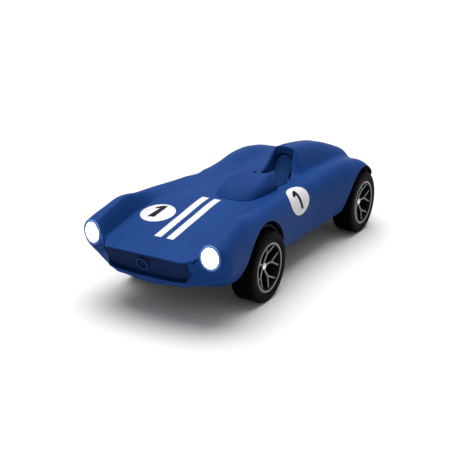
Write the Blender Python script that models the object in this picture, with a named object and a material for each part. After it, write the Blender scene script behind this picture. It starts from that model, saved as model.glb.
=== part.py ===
"""A toy racing car with a pull-back motor: an open cockpit, a head fairing, wire-look wheels and lit lamps.

The car stands on its tyres with its nose towards -Y, its left side towards +X and the floor at z = 0.
Sizes are in millimetres, times MM where they reach Blender's metres.
"""

import math

import bmesh
import bpy
from mathutils import Matrix, Vector

MM = 0.001

# Driving dimensions, in millimetres
TYRE_RADIUS = 17.5
TYRE_WIDTH = 12.5
TYRE_BORE = 11.9
WHEEL_SIDES = 32
TRACK_OUTER = 38.3
FRONT_AXLE_Y = -48.0
REAR_AXLE_Y = 65.0
AXLE_Z = TYRE_RADIUS * math.cos(math.pi / WHEEL_SIDES)
AXLE_RADIUS = 1.25
GAP = 0.3

# Body shell
WALL = 2.0
FRONT_ARCH_RADIUS = 22.8
REAR_ARCH_RADIUS = 20.8
FRONT_ARCH_Y = FRONT_AXLE_Y - 1.8
ARCH_INNER_X = 21.6
ARCH_OUTER_X = 50.0
FACE_Y = -97.8
TAIL_END_Y = 98.45
FACE_TOP_Z = 34.0
FACE_LEAN = 0.33
LAMP_SETBACK = 7.0
LIP_ROUNDING = 1.0
LAMP_ROUNDING = 3.2
TAIL_START_Y = 79.0
TAIL_CENTRE_Z = 27.0
TAIL_POWER = 1.75
HUMP_X = 8.5
HUMP_HALF_WIDTH = 12.9
HUMP_HOLLOW_Y = 36.0
SIDE_POWER = 2.3
DECK_STEPS, SIDE_STEPS, TUCK_STEPS, BELLY_STEPS = 10, 4, 3, 2

# Key lines of the body, each a smooth curve through (y, value)
DECK_Z = ((-98, 33.8), (-90, 34.8), (-80, 36.2), (-60, 39.6), (-37, 42.8), (-15, 42.4), (10, 41.6),
          (35, 41.6), (55, 41.8), (70, 41.0), (85, 38.5), (100, 36.0))
CREST_X = ((-98, 30.5), (-70, 31.0), (-45, 30.5), (-20, 28.0), (6, 25.5), (30, 26.5), (55, 28.0),
           (75, 28.0), (100, 26.0))
CREST_Z = ((-98, 38.5), (-90, 42.6), (-80, 45.2), (-68, 47.5), (-55, 45.8), (-42, 45.1), (-25, 44.2),
           (-8, 43.7), (6, 43.6), (20, 44.1), (35, 45.2), (50, 44.4), (60, 42.9), (70, 40.9),
           (82, 35.2), (92, 33.2), (100, 32.6))
VALLEY_X = ((-98, 24.5), (-90, 26.2), (-80, 27.0), (-66, 27.2), (-54, 25.5), (-42, 21.0), (-20, 14.0),
            (10, 14.0), (35, 17.0), (60, 18.0), (100, 16.0))
SIDE_X = ((-98, 36.0), (-88, 40.2), (-75, 39.3), (-60, 38.5), (-48, 37.6), (-30, 35.8), (-10, 34.4),
          (6, 34.0), (20, 34.6), (35, 36.0), (50, 37.6), (65, 38.3), (75, 37.3), (85, 35.6),
          (100, 34.0))
SIDE_Z = ((-98, 30.0), (-70, 31.0), (-30, 30.5), (6, 30.0), (40, 31.0), (65, 31.5), (85, 29.0),
          (100, 27.5))
SILL_X = ((-98, 16.0), (-90, 19.5), (-83, 30.5), (-76, 33.8), (-45, 34.0), (-20, 32.6), (6, 32.2),
          (30, 33.0), (50, 34.0), (85, 34.0), (100, 31.0))
SILL_Z = ((-98, 19.8), (-85, 19.2), (-70, 18.6), (-25, 17.8), (5, 16.6), (45, 17.4), (80, 18.6),
          (100, 20.0))
BELLY_Z = ((-98, 18.0), (-88, 17.2), (-60, 16.5), (50, 16.5), (80, 17.5), (100, 19.0))
HUMP_H = ((-100, 0.0), (3, 0.0), (12, 2.0), (19, 9.2), (23, 14.4), (29, 14.1), (38, 13.0), (47, 11.5),
          (56, 9.8), (64, 8.0), (72, 5.8), (80, 4.2), (90, 3.4), (100, 3.0))

# Cockpit, windscreen and seat
COCKPIT_X = 9.0
COCKPIT_FRONT_Y = -29.5
COCKPIT_REAR_Y = 23.0
COCKPIT_TURN_Y = -14.0
COCKPIT_HALF_WIDTH = 11.4
HOOP_HALF_WIDTH = 5.4
HOOP_FLOOR_Z = 42.2
HOOP_TOP_Z = 52.4
HOOP_DEPTH = 10.0
SCREEN_X = 8.3
SCREEN_HALF_WIDTH = 12.9
SCREEN_FRONT_Y = -35.0
SCREEN_TURN_Y = -12.0
SCREEN_NEAR_END_Y = -9.5
SCREEN_FAR_END_Y = 13.0
SCREEN_TOP_Z = 52.6
SCREEN_FAR_END_Z = 44.4
SCREEN_FAR_FALL = 0.4
SCREEN_SQUARENESS = 0.8
SCREEN_THICKNESS = 1.6
SCREEN_RAKE = 17.0
SCREEN_BOW = 2.2
SCREEN_SIDE_BOW = 0.8
SCREEN_SIDE_LEAN = 1.6
SEAT_HALF_WIDTH = 5.9
BACK_HALF_WIDTH = 4.1
TUB_FLOOR_Z = 28.2
TUB_WALL = 1.5
TUB_TOP_Z = 40.8

# Grille and lamps
MOUTH_TOP_HALF, MOUTH_BOTTOM_HALF = 22.0, 18.5
MOUTH_TOP_Z, MOUTH_BOTTOM_Z = 33.2, 22.0
MOUTH_DEPTH = 4.0
RING_X = -3.2
LAMP_X, LAMP_Z = 32.1, 36.4
LAMP_HALF_WIDTH, LAMP_HALF_HEIGHT = 4.3, 5.0
LAMP_FACE_Y = -91.6
LAMP_DEPTH = 8.0

# Chassis
FLOOR_Z = 12.0
FLOOR_THICKNESS = 2.0
FLOOR_TOP = FLOOR_Z + FLOOR_THICKNESS
WELL_INNER_X = 23.6
WELL_RADIUS = 20.4
WELL_WALL = 1.2
SCREW_PLACES = ((-13.0, -68.5), (13.0, -68.5), (-12.0, 84.0), (12.0, 84.0))
BOSS_RADIUS = 3.0
BOSS_SINK = 1.2
SCREW_RADIUS = 1.0
SCREW_HEAD_RADIUS = 2.2
SCREW_HEAD_DEPTH = 1.2
SCREW_LENGTH = 12.0

# Pull-back motor
MODULE = 0.6
PINION_TEETH, WHEEL_TEETH = 10, 30
MESH_CLEARANCE = 0.12
MOTOR_Y = (33.5, 74.5)
MOTOR_Z = (12.0, 37.7)
MOTOR_HALF_WIDTH = 11.0
MOTOR_WALL = 1.2
COMPOUND_ANGLE = math.radians(130.0)
DRUM_ANGLE = math.radians(185.0)
SHAFT_RADIUS = 0.9
DRUM_RADIUS = 8.6
DRUM_WALL = 0.7
SPRING_TURNS = 4
SPRING_STRIP = 0.4
MOTOR_SCREW_PLACES = ((6.0, 29.0), (-6.0, 79.0))

# Button cells, switch and lamp board
CELL_RADIUS = 5.8
CELL_WIDTH = 5.4
CELL_COUNT = 3
CELL_Y = -6.0
CELL_Z = FLOOR_TOP + CELL_RADIUS + 2 * GAP
CELL_PITCH = CELL_WIDTH + GAP
SWITCH_Y = 16.0
SWITCH_TRAVEL = 3.0
BOARD_Y = -66.5

COLOURS = {
    "body_blue": ((0.022, 0.075, 0.36), 0.42, 0.0),
    "tub_blue": ((0.012, 0.035, 0.16), 0.55, 0.0),
    "grille_blue": ((0.010, 0.028, 0.13), 0.50, 0.0),
    "chassis_black": ((0.012, 0.012, 0.013), 0.60, 0.0),
    "tyre_black": ((0.010, 0.010, 0.010), 0.75, 0.0),
    "rim_black": ((0.015, 0.015, 0.016), 0.35, 0.0),
    "chrome": ((0.75, 0.75, 0.76), 0.12, 1.0),
    "steel": ((0.50, 0.50, 0.51), 0.30, 1.0),
    "brass": ((0.65, 0.48, 0.20), 0.30, 1.0),
    "lens_white": ((0.95, 0.96, 1.0), 0.15, 0.0),
    "gear_white": ((0.80, 0.79, 0.74), 0.45, 0.0),
    "motor_grey": ((0.30, 0.31, 0.33), 0.50, 0.0),
    "board_green": ((0.02, 0.20, 0.07), 0.45, 0.0),
    "lead_red": ((0.55, 0.02, 0.02), 0.50, 0.0),
}


# ---------------------------------------------------------------- Blender helpers

def clear_scene():
    for obj in list(bpy.data.objects):
        bpy.data.objects.remove(obj, do_unlink=True)


def material(name):
    found = bpy.data.materials.get(name)
    if found:
        return found
    colour, roughness, metallic = COLOURS[name]
    made = bpy.data.materials.new(name)
    made.use_nodes = True
    shader = made.node_tree.nodes["Principled BSDF"]
    shader.inputs["Base Color"].default_value = (*colour, 1.0)
    shader.inputs["Roughness"].default_value = roughness
    shader.inputs["Metallic"].default_value = metallic
    return made


def add_object(name, mesh, finish, parent=None, place=(0, 0, 0)):
    """Links a mesh, given in millimetres about its own origin, as an object placed in millimetres."""
    obj = bpy.data.objects.new(name, mesh)
    bpy.context.scene.collection.objects.link(obj)
    obj.location = Vector(place) * MM
    if finish:
        mesh.materials.clear()
        mesh.materials.append(material(finish))
    if parent:
        obj.parent = parent
    return obj


def mesh_of(name, bm, smooth_angle=35.0):
    """Closes the bmesh into a mesh in metres, with its faces pointing out."""
    bmesh.ops.recalc_face_normals(bm, faces=bm.faces)
    if bm.calc_volume(signed=True) < 0:
        bmesh.ops.reverse_faces(bm, faces=bm.faces)
    bmesh.ops.scale(bm, vec=(MM, MM, MM), verts=bm.verts)
    mesh = bpy.data.meshes.new(name)
    bm.to_mesh(mesh)
    bm.free()
    mesh.shade_smooth()
    mesh.set_sharp_from_angle(angle=math.radians(smooth_angle))
    return mesh


def empty(name, place):
    obj = bpy.data.objects.new(name, None)
    bpy.context.scene.collection.objects.link(obj)
    obj.location = Vector(place) * MM
    return obj


def combine(target, operation, meshes):
    """One Boolean with all the meshes, which are hidden helpers in a collection of their own."""
    helpers = bpy.data.collections.new(f"{target.name}_{operation.lower()}")
    bpy.context.scene.collection.children.link(helpers)
    for mesh in meshes:
        obj = bpy.data.objects.new(f"helper_{mesh.name}", mesh)
        obj.hide_render = True
        obj.display_type = "WIRE"
        helpers.objects.link(obj)
    boolean = target.modifiers.new(helpers.name, "BOOLEAN")
    boolean.operation = operation
    boolean.solver = "EXACT"
    boolean.operand_type = "COLLECTION"
    boolean.collection = helpers


def cut(target, *meshes):
    combine(target, "DIFFERENCE", meshes)


def join(target, *meshes):
    combine(target, "UNION", meshes)


# ---------------------------------------------------------------- shapes

def bridged(name, rings, ends=True, closed=False):
    """A solid whose skin joins equal rings of points in order, with flat ends or closed round on itself."""
    bm = bmesh.new()
    loops = [[bm.verts.new(point) for point in ring] for ring in rings]
    count = len(rings[0])
    pairs = list(zip(loops, loops[1:]))
    if closed:
        pairs.append((loops[-1], loops[0]))
    for first, second in pairs:
        for i in range(count):
            j = (i + 1) % count
            bm.faces.new((first[i], first[j], second[j], second[i]))
    if ends and not closed:
        bm.faces.new(loops[0])
        bm.faces.new(loops[-1])
    return mesh_of(name, bm)


def turned(name, profile, sides=24, phase=0.0, squash=1.0):
    """A profile of (x, radius) points turned about the X axis. A radius of 0 makes a point on the axis."""
    bm = bmesh.new()
    rings = []
    for along_x, radius in profile:
        if radius == 0:
            rings.append([bm.verts.new((along_x, 0, 0))])
            continue
        angles = [2 * math.pi * (i + phase) / sides for i in range(sides)]
        rings.append([bm.verts.new((along_x, radius * math.cos(a), radius * squash * math.sin(a)))
                      for a in angles])
    pairs = list(zip(rings, rings[1:]))
    if all(len(ring) > 1 for ring in rings):
        pairs.append((rings[-1], rings[0]))
    for first, second in pairs:
        for i in range(sides):
            j = (i + 1) % sides
            corners = [first[i % len(first)], first[j % len(first)], second[j % len(second)],
                       second[i % len(second)]]
            bm.faces.new(dict.fromkeys(corners))
    return mesh_of(name, bm)


def rod(name, x_low, x_high, radius, sides=16):
    return turned(name, ((x_low, 0), (x_low, radius), (x_high, radius), (x_high, 0)), sides, 0.5)


def upright(name, z_low, z_high, radius, sides=16):
    """A round column about Z."""
    mesh = rod(name, z_low, z_high, radius, sides)
    mesh.transform(Matrix.Rotation(-math.pi / 2, 4, "Y"))
    return mesh


def moved(mesh, place):
    mesh.transform(Matrix.Translation(Vector(place) * MM))
    return mesh


def box(name, low, high):
    bm = bmesh.new()
    bmesh.ops.create_cube(bm, size=1.0)
    size = [b - a for a, b in zip(low, high)]
    centre = [(a + b) / 2 for a, b in zip(low, high)]
    bmesh.ops.transform(bm, matrix=Matrix.Translation(centre) @ Matrix.Diagonal((*size, 1.0)), verts=bm.verts)
    return mesh_of(name, bm)


def prism(name, outline, low, high, axis="Z"):
    """An outline pulled from low to high along an axis, its points in the other two coordinates in order."""
    def point(pair, height):
        a, b = pair
        return {"X": (height, a, b), "Y": (a, height, b), "Z": (a, b, height)}[axis]
    return bridged(name, [[point(pair, low) for pair in outline], [point(pair, high) for pair in outline]])


def arc(centre, radius, start, end, steps):
    """Points along an arc, with its angles in degrees and both ends included."""
    angles = [math.radians(start + (end - start) * i / steps) for i in range(steps + 1)]
    return [(centre[0] + radius * math.cos(a), centre[1] + radius * math.sin(a)) for a in angles]


# ---------------------------------------------------------------- body surface

def ease(t):
    """0 to 1 with level ends."""
    t = min(max(t, 0.0), 1.0)
    return t * t * (3.0 - 2.0 * t)


def along(line, y):
    """The value of a key line at y, by a cubic that never overshoots its points."""
    y = min(max(y, line[0][0]), line[-1][0])
    steps = [(b[1] - a[1]) / (b[0] - a[0]) for a, b in zip(line, line[1:])]
    slopes = [steps[0]]
    for before, after in zip(steps, steps[1:]):
        slopes.append(2 * before * after / (before + after) if before * after > 0 else 0.0)
    slopes.append(steps[-1])
    k = next(i for i, point in enumerate(line[1:]) if y <= point[0])
    (y0, v0), (y1, v1) = line[k], line[k + 1]
    span = y1 - y0
    t = (y - y0) / span
    return (v0 * (1 + 2 * t) * (1 - t) ** 2 + span * slopes[k] * t * (1 - t) ** 2
            + v1 * t * t * (3 - 2 * t) + span * slopes[k + 1] * t * t * (t - 1))


def hump(x, y):
    """Height of the head fairing above the deck, which stands behind the driver and not on the middle."""
    u = abs(x - HUMP_X) / HUMP_HALF_WIDTH
    return along(HUMP_H, y) * (0.5 + 0.5 * math.cos(math.pi * u ** 2.2)) if u < 1 else 0.0


def deck_z(x, y):
    """Height of the body's upper surface between the crests of the wings, without the fairing."""
    crest_x = along(CREST_X, y)
    deck, crest = along(DECK_Z, y), along(CREST_Z, y)
    valley = along(VALLEY_X, y)
    return deck + (crest - deck) * ease((abs(x) - valley) / (crest_x - valley))


def top_z(x, y):
    return deck_z(x, y) + hump(x, y)


def section(y, hump_share=1.0):
    """The body's outline at y as (x, z), from the deck's middle down the left side and up the right side."""
    crest_x, crest_z = along(CREST_X, y), along(CREST_Z, y)
    side_x, side_z = along(SIDE_X, y), along(SIDE_Z, y)
    sill_x, sill_z = along(SILL_X, y), along(SILL_Z, y)
    belly_z = along(BELLY_Z, y)
    half = [(crest_x * i / DECK_STEPS, deck_z(crest_x * i / DECK_STEPS, y)) for i in range(DECK_STEPS)]
    power = 2 / SIDE_POWER
    for i in range(SIDE_STEPS):
        angle = 0.5 * math.pi * i / SIDE_STEPS
        half.append((crest_x + (side_x - crest_x) * math.sin(angle) ** power,
                     side_z + (crest_z - side_z) * math.cos(angle) ** power))
    for i in range(TUCK_STEPS):
        t = i / TUCK_STEPS
        half.append((side_x - (side_x - sill_x) * t * t, side_z - (side_z - sill_z) * t))
    for i in range(BELLY_STEPS + 1):
        t = i / BELLY_STEPS
        half.append((sill_x * (1 - t), sill_z + (belly_z - sill_z) * ease(t)))
    ring = half + [(-x, z) for x, z in reversed(half[1:-1])]
    deck = list(range(DECK_STEPS)) + list(range(1 - DECK_STEPS, 0))
    for i in deck:
        x, z = ring[i]
        ring[i] = (x, z + hump(x, y) * hump_share)
    scale = tail_scale(y)
    return [(x * scale, TAIL_CENTRE_Z + (z - TAIL_CENTRE_Z) * scale) for x, z in ring]


def tail_scale(y):
    """How far the section has shrunk towards the tail's middle, 1 before the tail begins."""
    if y <= TAIL_START_Y:
        return 1.0
    t = (y - TAIL_START_Y) / (TAIL_END_Y - TAIL_START_Y)
    return max(1 - t ** TAIL_POWER, 0.0) ** (1 / TAIL_POWER)


def face_y(x, z):
    """Where the nose's front face lies: it leans, and steps back to the lamps."""
    return FACE_Y + FACE_LEAN * (FACE_TOP_Z - z) + LAMP_SETBACK * lamp_share(x)


def offset_inwards(ring, distances):
    """A closed ring of (x, z) points moved in by their distances along its own normals."""
    result = []
    for i, (x, z) in enumerate(ring):
        before, after = ring[i - 1], ring[(i + 1) % len(ring)]
        step = Vector((after[0] - before[0], after[1] - before[1])).normalized()
        result.append((x + step.y * distances[i], z - step.x * distances[i]))
    return result


def lamp_share(x):
    """0 across the grille and 1 across the lamps."""
    return ease((abs(x) - 20.0) / 11.0)


def section_top(x, y):
    """Height of the upper surface at any station, the shrunken tail included."""
    scale = tail_scale(y)
    return TAIL_CENTRE_Z + (top_z(x / scale, y) - TAIL_CENTRE_Z) * scale


def body_rings():
    """The body's outer skin, from the tail to the middle of the nose."""
    stations = [98.06, 96.7, 93.8, 89.2, 82, 74, 66, 56, 46, 38, 30, 23, 19, 12, 2, -8, -24, -40, -54, -65]
    rings = [[(x, y, z) for x, z in section(y)] for y in stations]
    roundness = [LIP_ROUNDING + LAMP_ROUNDING * lamp_share(x) for x, _ in section(-90.0)]
    edge = [face_y(x, z) + r for (x, z), r in zip(section(-90.0), roundness)]
    for t in (0.3, 0.6, 0.82, 1.0):
        ys = [stations[-1] + (end - stations[-1]) * t for end in edge]
        rings.append([(section(y)[i][0], y, section(y)[i][1]) for i, y in enumerate(ys)])
    outline = [(x, z) for x, _, z in rings[-1]]
    for share in (0.12, 0.45, 1.0):
        inner = offset_inwards(outline, [share * r for r in roundness])
        recede = math.sqrt(1 - (1 - share) ** 2)
        rings.append([(x, end - recede * r, z) for (x, z), end, r in zip(inner, edge, roundness)])
    core = [(0.82 * x, 28.0 + 0.2 * (z - 28.0)) for x, _, z in rings[-1]]
    rings.append([(x, face_y(x, z), z) for x, z in core])
    return rings


def cavity_rings():
    """The inside of the shell, which runs down past the sills so that the underside is open."""
    stations = [94, 88.5, 81, 72, 62, 51, 43, 37, 31, 22, 4, -14, -32, -50, -66, -84]
    rings = []
    skirt = DECK_STEPS + SIDE_STEPS + TUCK_STEPS
    for y in stations:
        outer = section(y, ease((y - HUMP_HOLLOW_Y) / 8))
        wall = WALL + ease((y - 87) / 5)
        inner = offset_inwards(outer, [wall] * len(outer))
        sill_x, sill_z = outer[skirt]
        low = [(sill_x - WALL, sill_z - 0.5), (sill_x - WALL, 5.0)]
        ring = inner[:skirt] + low + [(-x, z) for x, z in reversed(low)] + inner[1 - skirt:]
        rings.append([(x, y, z) for x, z in ring])
    return rings


def cockpit_half_width(y, inset):
    front, rear = COCKPIT_FRONT_Y + inset, COCKPIT_REAR_Y - inset
    widest = COCKPIT_HALF_WIDTH - inset
    if y < COCKPIT_TURN_Y:
        return widest * math.sqrt(max(1 - ((COCKPIT_TURN_Y - y) / (COCKPIT_TURN_Y - front)) ** 2, 0.0))
    return widest + (HOOP_HALF_WIDTH - inset - widest) * ease((y - 4.0) / (rear - 4.0))


def cockpit_outline(inset=0.0):
    """Plan of the cockpit opening, from its front middle round one side to its rear and back on the other."""
    front, rear = COCKPIT_FRONT_Y + inset, COCKPIT_REAR_Y - inset
    turn = COCKPIT_TURN_Y
    ys = [turn - (turn - front) * math.cos(math.radians(15 * i)) for i in range(1, 6)]
    ys += [turn + (rear - turn) * i / 8 for i in range(9)]
    side = [(cockpit_half_width(y, inset), y) for y in ys]
    outline = [(0.0, front)] + side + [(-x, y) for x, y in reversed(side)]
    return [(COCKPIT_X + x, y) for x, y in outline]


def hoop_outline(inset=0.0):
    """The opening under the fairing's hoop as (x, z): straight sides and a round top."""
    half = HOOP_HALF_WIDTH - inset
    top = arc((HUMP_X, HOOP_TOP_Z - HOOP_HALF_WIDTH), half, 0, 180, 8)
    return [(HUMP_X - half, HOOP_FLOOR_Z + inset), (HUMP_X + half, HOOP_FLOOR_Z + inset)] + top


def mouth_outline(inset=0.0):
    """The grille's opening as (x, z): wide at the top, with round corners and an arched upper lip."""
    top_half, bottom_half = MOUTH_TOP_HALF - inset, MOUTH_BOTTOM_HALF - inset
    top, bottom = MOUTH_TOP_Z - inset, MOUTH_BOTTOM_Z + inset
    right = [(bottom_half * 0.5, bottom + 0.3), (bottom_half - 1.5, bottom + 1.2),
             (bottom_half + 0.6, bottom + 2.8), (top_half, top - 3.6), (top_half - 0.4, top - 1.4),
             (top_half - 2.2, top - 0.5), (top_half * 0.5, top - 0.1)]
    return [(0.0, bottom)] + right + [(0.0, top)] + [(-x, z) for x, z in reversed(right)]


def sloped_prism(name, outline, depth_near, depth_far):
    """An outline of (x, z) points pulled between two depths behind the nose's leaning face."""
    def ring(depth):
        return [(x, FACE_Y + FACE_LEAN * (FACE_TOP_Z - z) + depth, z) for x, z in outline]
    return bridged(name, [ring(depth_near), ring(depth_far)])


def lamp_mesh(name, profile, side, sides=16):
    """A profile of (depth behind the lamp's face, radius) turned about Y, made oval and put in its place."""
    mesh = turned(name, profile, sides, 0.5, LAMP_HALF_HEIGHT / LAMP_HALF_WIDTH)
    mesh.transform(Matrix.Rotation(math.pi / 2, 4, "Z"))
    return moved(mesh, (side * LAMP_X, LAMP_FACE_Y, LAMP_Z))


def mirrored(mesh, side):
    """The mesh as it is for side 1, and turned over the middle plane for side -1."""
    if side < 0:
        mesh.transform(Matrix.Diagonal((-1, 1, 1, 1)))
        mesh.flip_normals()
    return mesh


def make_body_shell():
    shell = add_object("body_shell", bridged("body_shell", body_rings()), "body_blue")
    cut(shell, bridged("shell_cavity", cavity_rings()))
    bosses, cutters = [], []
    for i, (x, y) in enumerate(SCREW_PLACES):
        boss_top = section_top(x, y + BOSS_RADIUS) - BOSS_SINK
        boss = upright(f"screw_boss_{i}", FLOOR_TOP + GAP, boss_top, BOSS_RADIUS, 12)
        bosses.append(moved(boss, (x, y, 0)))
        bore_top = FLOOR_Z + SCREW_LENGTH + 1.0
        bore = upright(f"screw_bore_{i}", FLOOR_TOP - 2.0, bore_top, SCREW_RADIUS + GAP, 12)
        cutters.append(moved(bore, (x, y, 0)))
    join(shell, *bosses)
    for side in (-1, 1):
        for y, radius in ((FRONT_ARCH_Y, FRONT_ARCH_RADIUS), (REAR_AXLE_Y, REAR_ARCH_RADIUS)):
            arch = rod("arch", ARCH_INNER_X, ARCH_OUTER_X, radius, 32)
            cutters.append(moved(mirrored(arch, side), (0, y, AXLE_Z)))
        pocket = ((-8.0, 0), (-8.0, LAMP_HALF_WIDTH), (LAMP_DEPTH, LAMP_HALF_WIDTH), (LAMP_DEPTH, 0))
        cutters.append(lamp_mesh("lamp_pocket", pocket, side))
    cutters.append(prism("cockpit_cutter", cockpit_outline(), 25.0, 70.0))
    hoop_end_y = COCKPIT_REAR_Y + HOOP_DEPTH
    cutters.append(prism("hoop_cutter", hoop_outline(), COCKPIT_REAR_Y - 12.0, hoop_end_y, "Y"))
    cutters.append(sloped_prism("mouth_cutter", mouth_outline(), -12.0, MOUTH_DEPTH))
    cut(shell, *cutters)


def screen_path():
    """Plan of the screen from end to end, as shares across, forward and back, with how far its top falls."""
    straight_steps, turn_steps = 4, 12
    path = []
    for i in range(straight_steps, 0, -1):
        back = i / straight_steps
        path.append((-1.0, 0.0, back, 1 - (1 - SCREEN_FAR_FALL) * (1 - back) ** 2))
    for i in range(turn_steps + 1):
        angle = math.pi * (i / turn_steps - 0.5)
        across = math.copysign(abs(math.sin(angle)) ** SCREEN_SQUARENESS, angle)
        forward = max(math.cos(angle), 0.0) ** SCREEN_SQUARENESS
        path.append((across, forward, 0.0, SCREEN_FAR_FALL * across ** 2 if across < 0 else 0.0))
    path.append((1.0, 0.0, 1.0, 0.0))
    return path


def make_windscreen():
    """A raked screen that wraps round the front of the cockpit and runs back, falling, on its far side."""
    rings = []
    for across, forward, back, fall in screen_path():
        end_y = SCREEN_NEAR_END_Y if across > 0 else SCREEN_FAR_END_Y
        foot_x = SCREEN_X + SCREEN_HALF_WIDTH * across
        foot_y = SCREEN_TURN_Y + (SCREEN_FRONT_Y - SCREEN_TURN_Y) * forward + (end_y - SCREEN_TURN_Y) * back
        top = SCREEN_TOP_Z + (SCREEN_FAR_END_Z - SCREEN_TOP_Z) * fall
        foot_z = max(top_z(foot_x, foot_y), top_z(foot_x - SCREEN_THICKNESS * across, foot_y)) + GAP
        outer, inner = [], []
        for t in (0.0, 0.4, 0.75, 1.0):
            bow = math.sin(math.pi * t)
            x = foot_x + (SCREEN_SIDE_BOW * bow - SCREEN_SIDE_LEAN * t) * across
            y = foot_y + (SCREEN_RAKE * t - SCREEN_BOW * bow) * forward
            z = foot_z + (top - foot_z) * t
            outer.append((x, y, z))
            inner.append((x - SCREEN_THICKNESS * across, y + SCREEN_THICKNESS * forward, z))
        rings.append(outer + inner[::-1])
    add_object("windscreen", bridged("windscreen", rings), "body_blue")


def make_cockpit():
    tub_mesh = prism("cockpit_tub", cockpit_outline(GAP), TUB_FLOOR_Z, TUB_TOP_Z)
    tub = add_object("cockpit_tub", tub_mesh, "tub_blue")
    floor_top = TUB_FLOOR_Z + TUB_WALL
    cut(tub, prism("tub_hollow", cockpit_outline(GAP + TUB_WALL), floor_top, 60.0))

    seat_z = floor_top + GAP
    base_view = [(-13.0, seat_z), (14.0, seat_z), (13.0, seat_z + 3.4), (-11.0, seat_z + 4.4)]
    squab = prism("driver_seat", base_view, -SEAT_HALF_WIDTH, SEAT_HALF_WIDTH, "X")
    seat = add_object("driver_seat", moved(squab, (COCKPIT_X, 0, 0)), "tub_blue")
    back_view = [(8.0, seat_z + 0.5), (13.8, seat_z + 0.5), (18.6, 41.0), (27.4, 47.8), (26.2, 49.6),
                 (14.4, 41.4), (9.6, seat_z + 4.0)]
    back = prism("seat_back", back_view, -BACK_HALF_WIDTH, BACK_HALF_WIDTH, "X")
    join(seat, moved(back, (COCKPIT_X, 0, 0)))


def make_nose():
    add_object("grille_panel",
               sloped_prism("grille_panel", mouth_outline(GAP), MOUTH_DEPTH - GAP - 1.4, MOUTH_DEPTH - GAP),
               "grille_blue")
    ring = turned("grille_ring", ((0.0, 3.5), (0.0, 2.3), (-1.2, 2.3), (-1.2, 3.5)), 24)
    ring.transform(Matrix.Rotation(math.pi / 2, 4, "Z"))
    ring.transform(Matrix.Rotation(math.atan(FACE_LEAN), 4, "X"))
    ring_z = (MOUTH_TOP_Z + MOUTH_BOTTOM_Z) / 2
    ring_y = FACE_Y + FACE_LEAN * (FACE_TOP_Z - ring_z) + MOUTH_DEPTH - 2 * GAP - 1.5
    add_object("grille_ring", moved(ring, (RING_X, ring_y, ring_z)), "body_blue")

    radius = LAMP_HALF_WIDTH - GAP
    foot = LAMP_DEPTH - GAP
    lens = ((-1.6, 0), (-1.3, 1.8), (-0.6, 3.1), (0.6, radius), (1.6, radius), (1.6, 0))
    cup = ((1.9, radius), (foot, radius), (foot, 1.9), (LAMP_DEPTH - 1.5, 1.9), (1.9, radius - 0.6))
    led = ((3.4, 0), (3.7, 0.9), (4.4, 1.4), (LAMP_DEPTH + 1.0, 1.4), (LAMP_DEPTH + 1.0, 0))
    for side, word in ((1, "left"), (-1, "right")):
        for name, profile, finish in (("headlight_lens", lens, "lens_white"),
                                      ("headlight_reflector", cup, "chrome"),
                                      ("headlight_led", led, "lens_white")):
            node = f"{name}_{word}"
            add_object(node, lamp_mesh(node, profile, side), finish)


# ---------------------------------------------------------------- chassis and electrics

def chassis_outline():
    """Plan of the floor: narrow between the wheels and wide under the doors, with round ends."""
    narrow, wide = WELL_INNER_X - 1.0, 26.0
    right = [(12.0, -73.0), (19.0, -69.5), (narrow, -66.0), (narrow, -26.0), (wide, -24.5), (wide, 41.5),
             (narrow, 43.0), (narrow, 86.0), (18.0, 92.0), (9.0, 95.0)]
    return right + [(-x, y) for x, y in reversed(right)]


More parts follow.
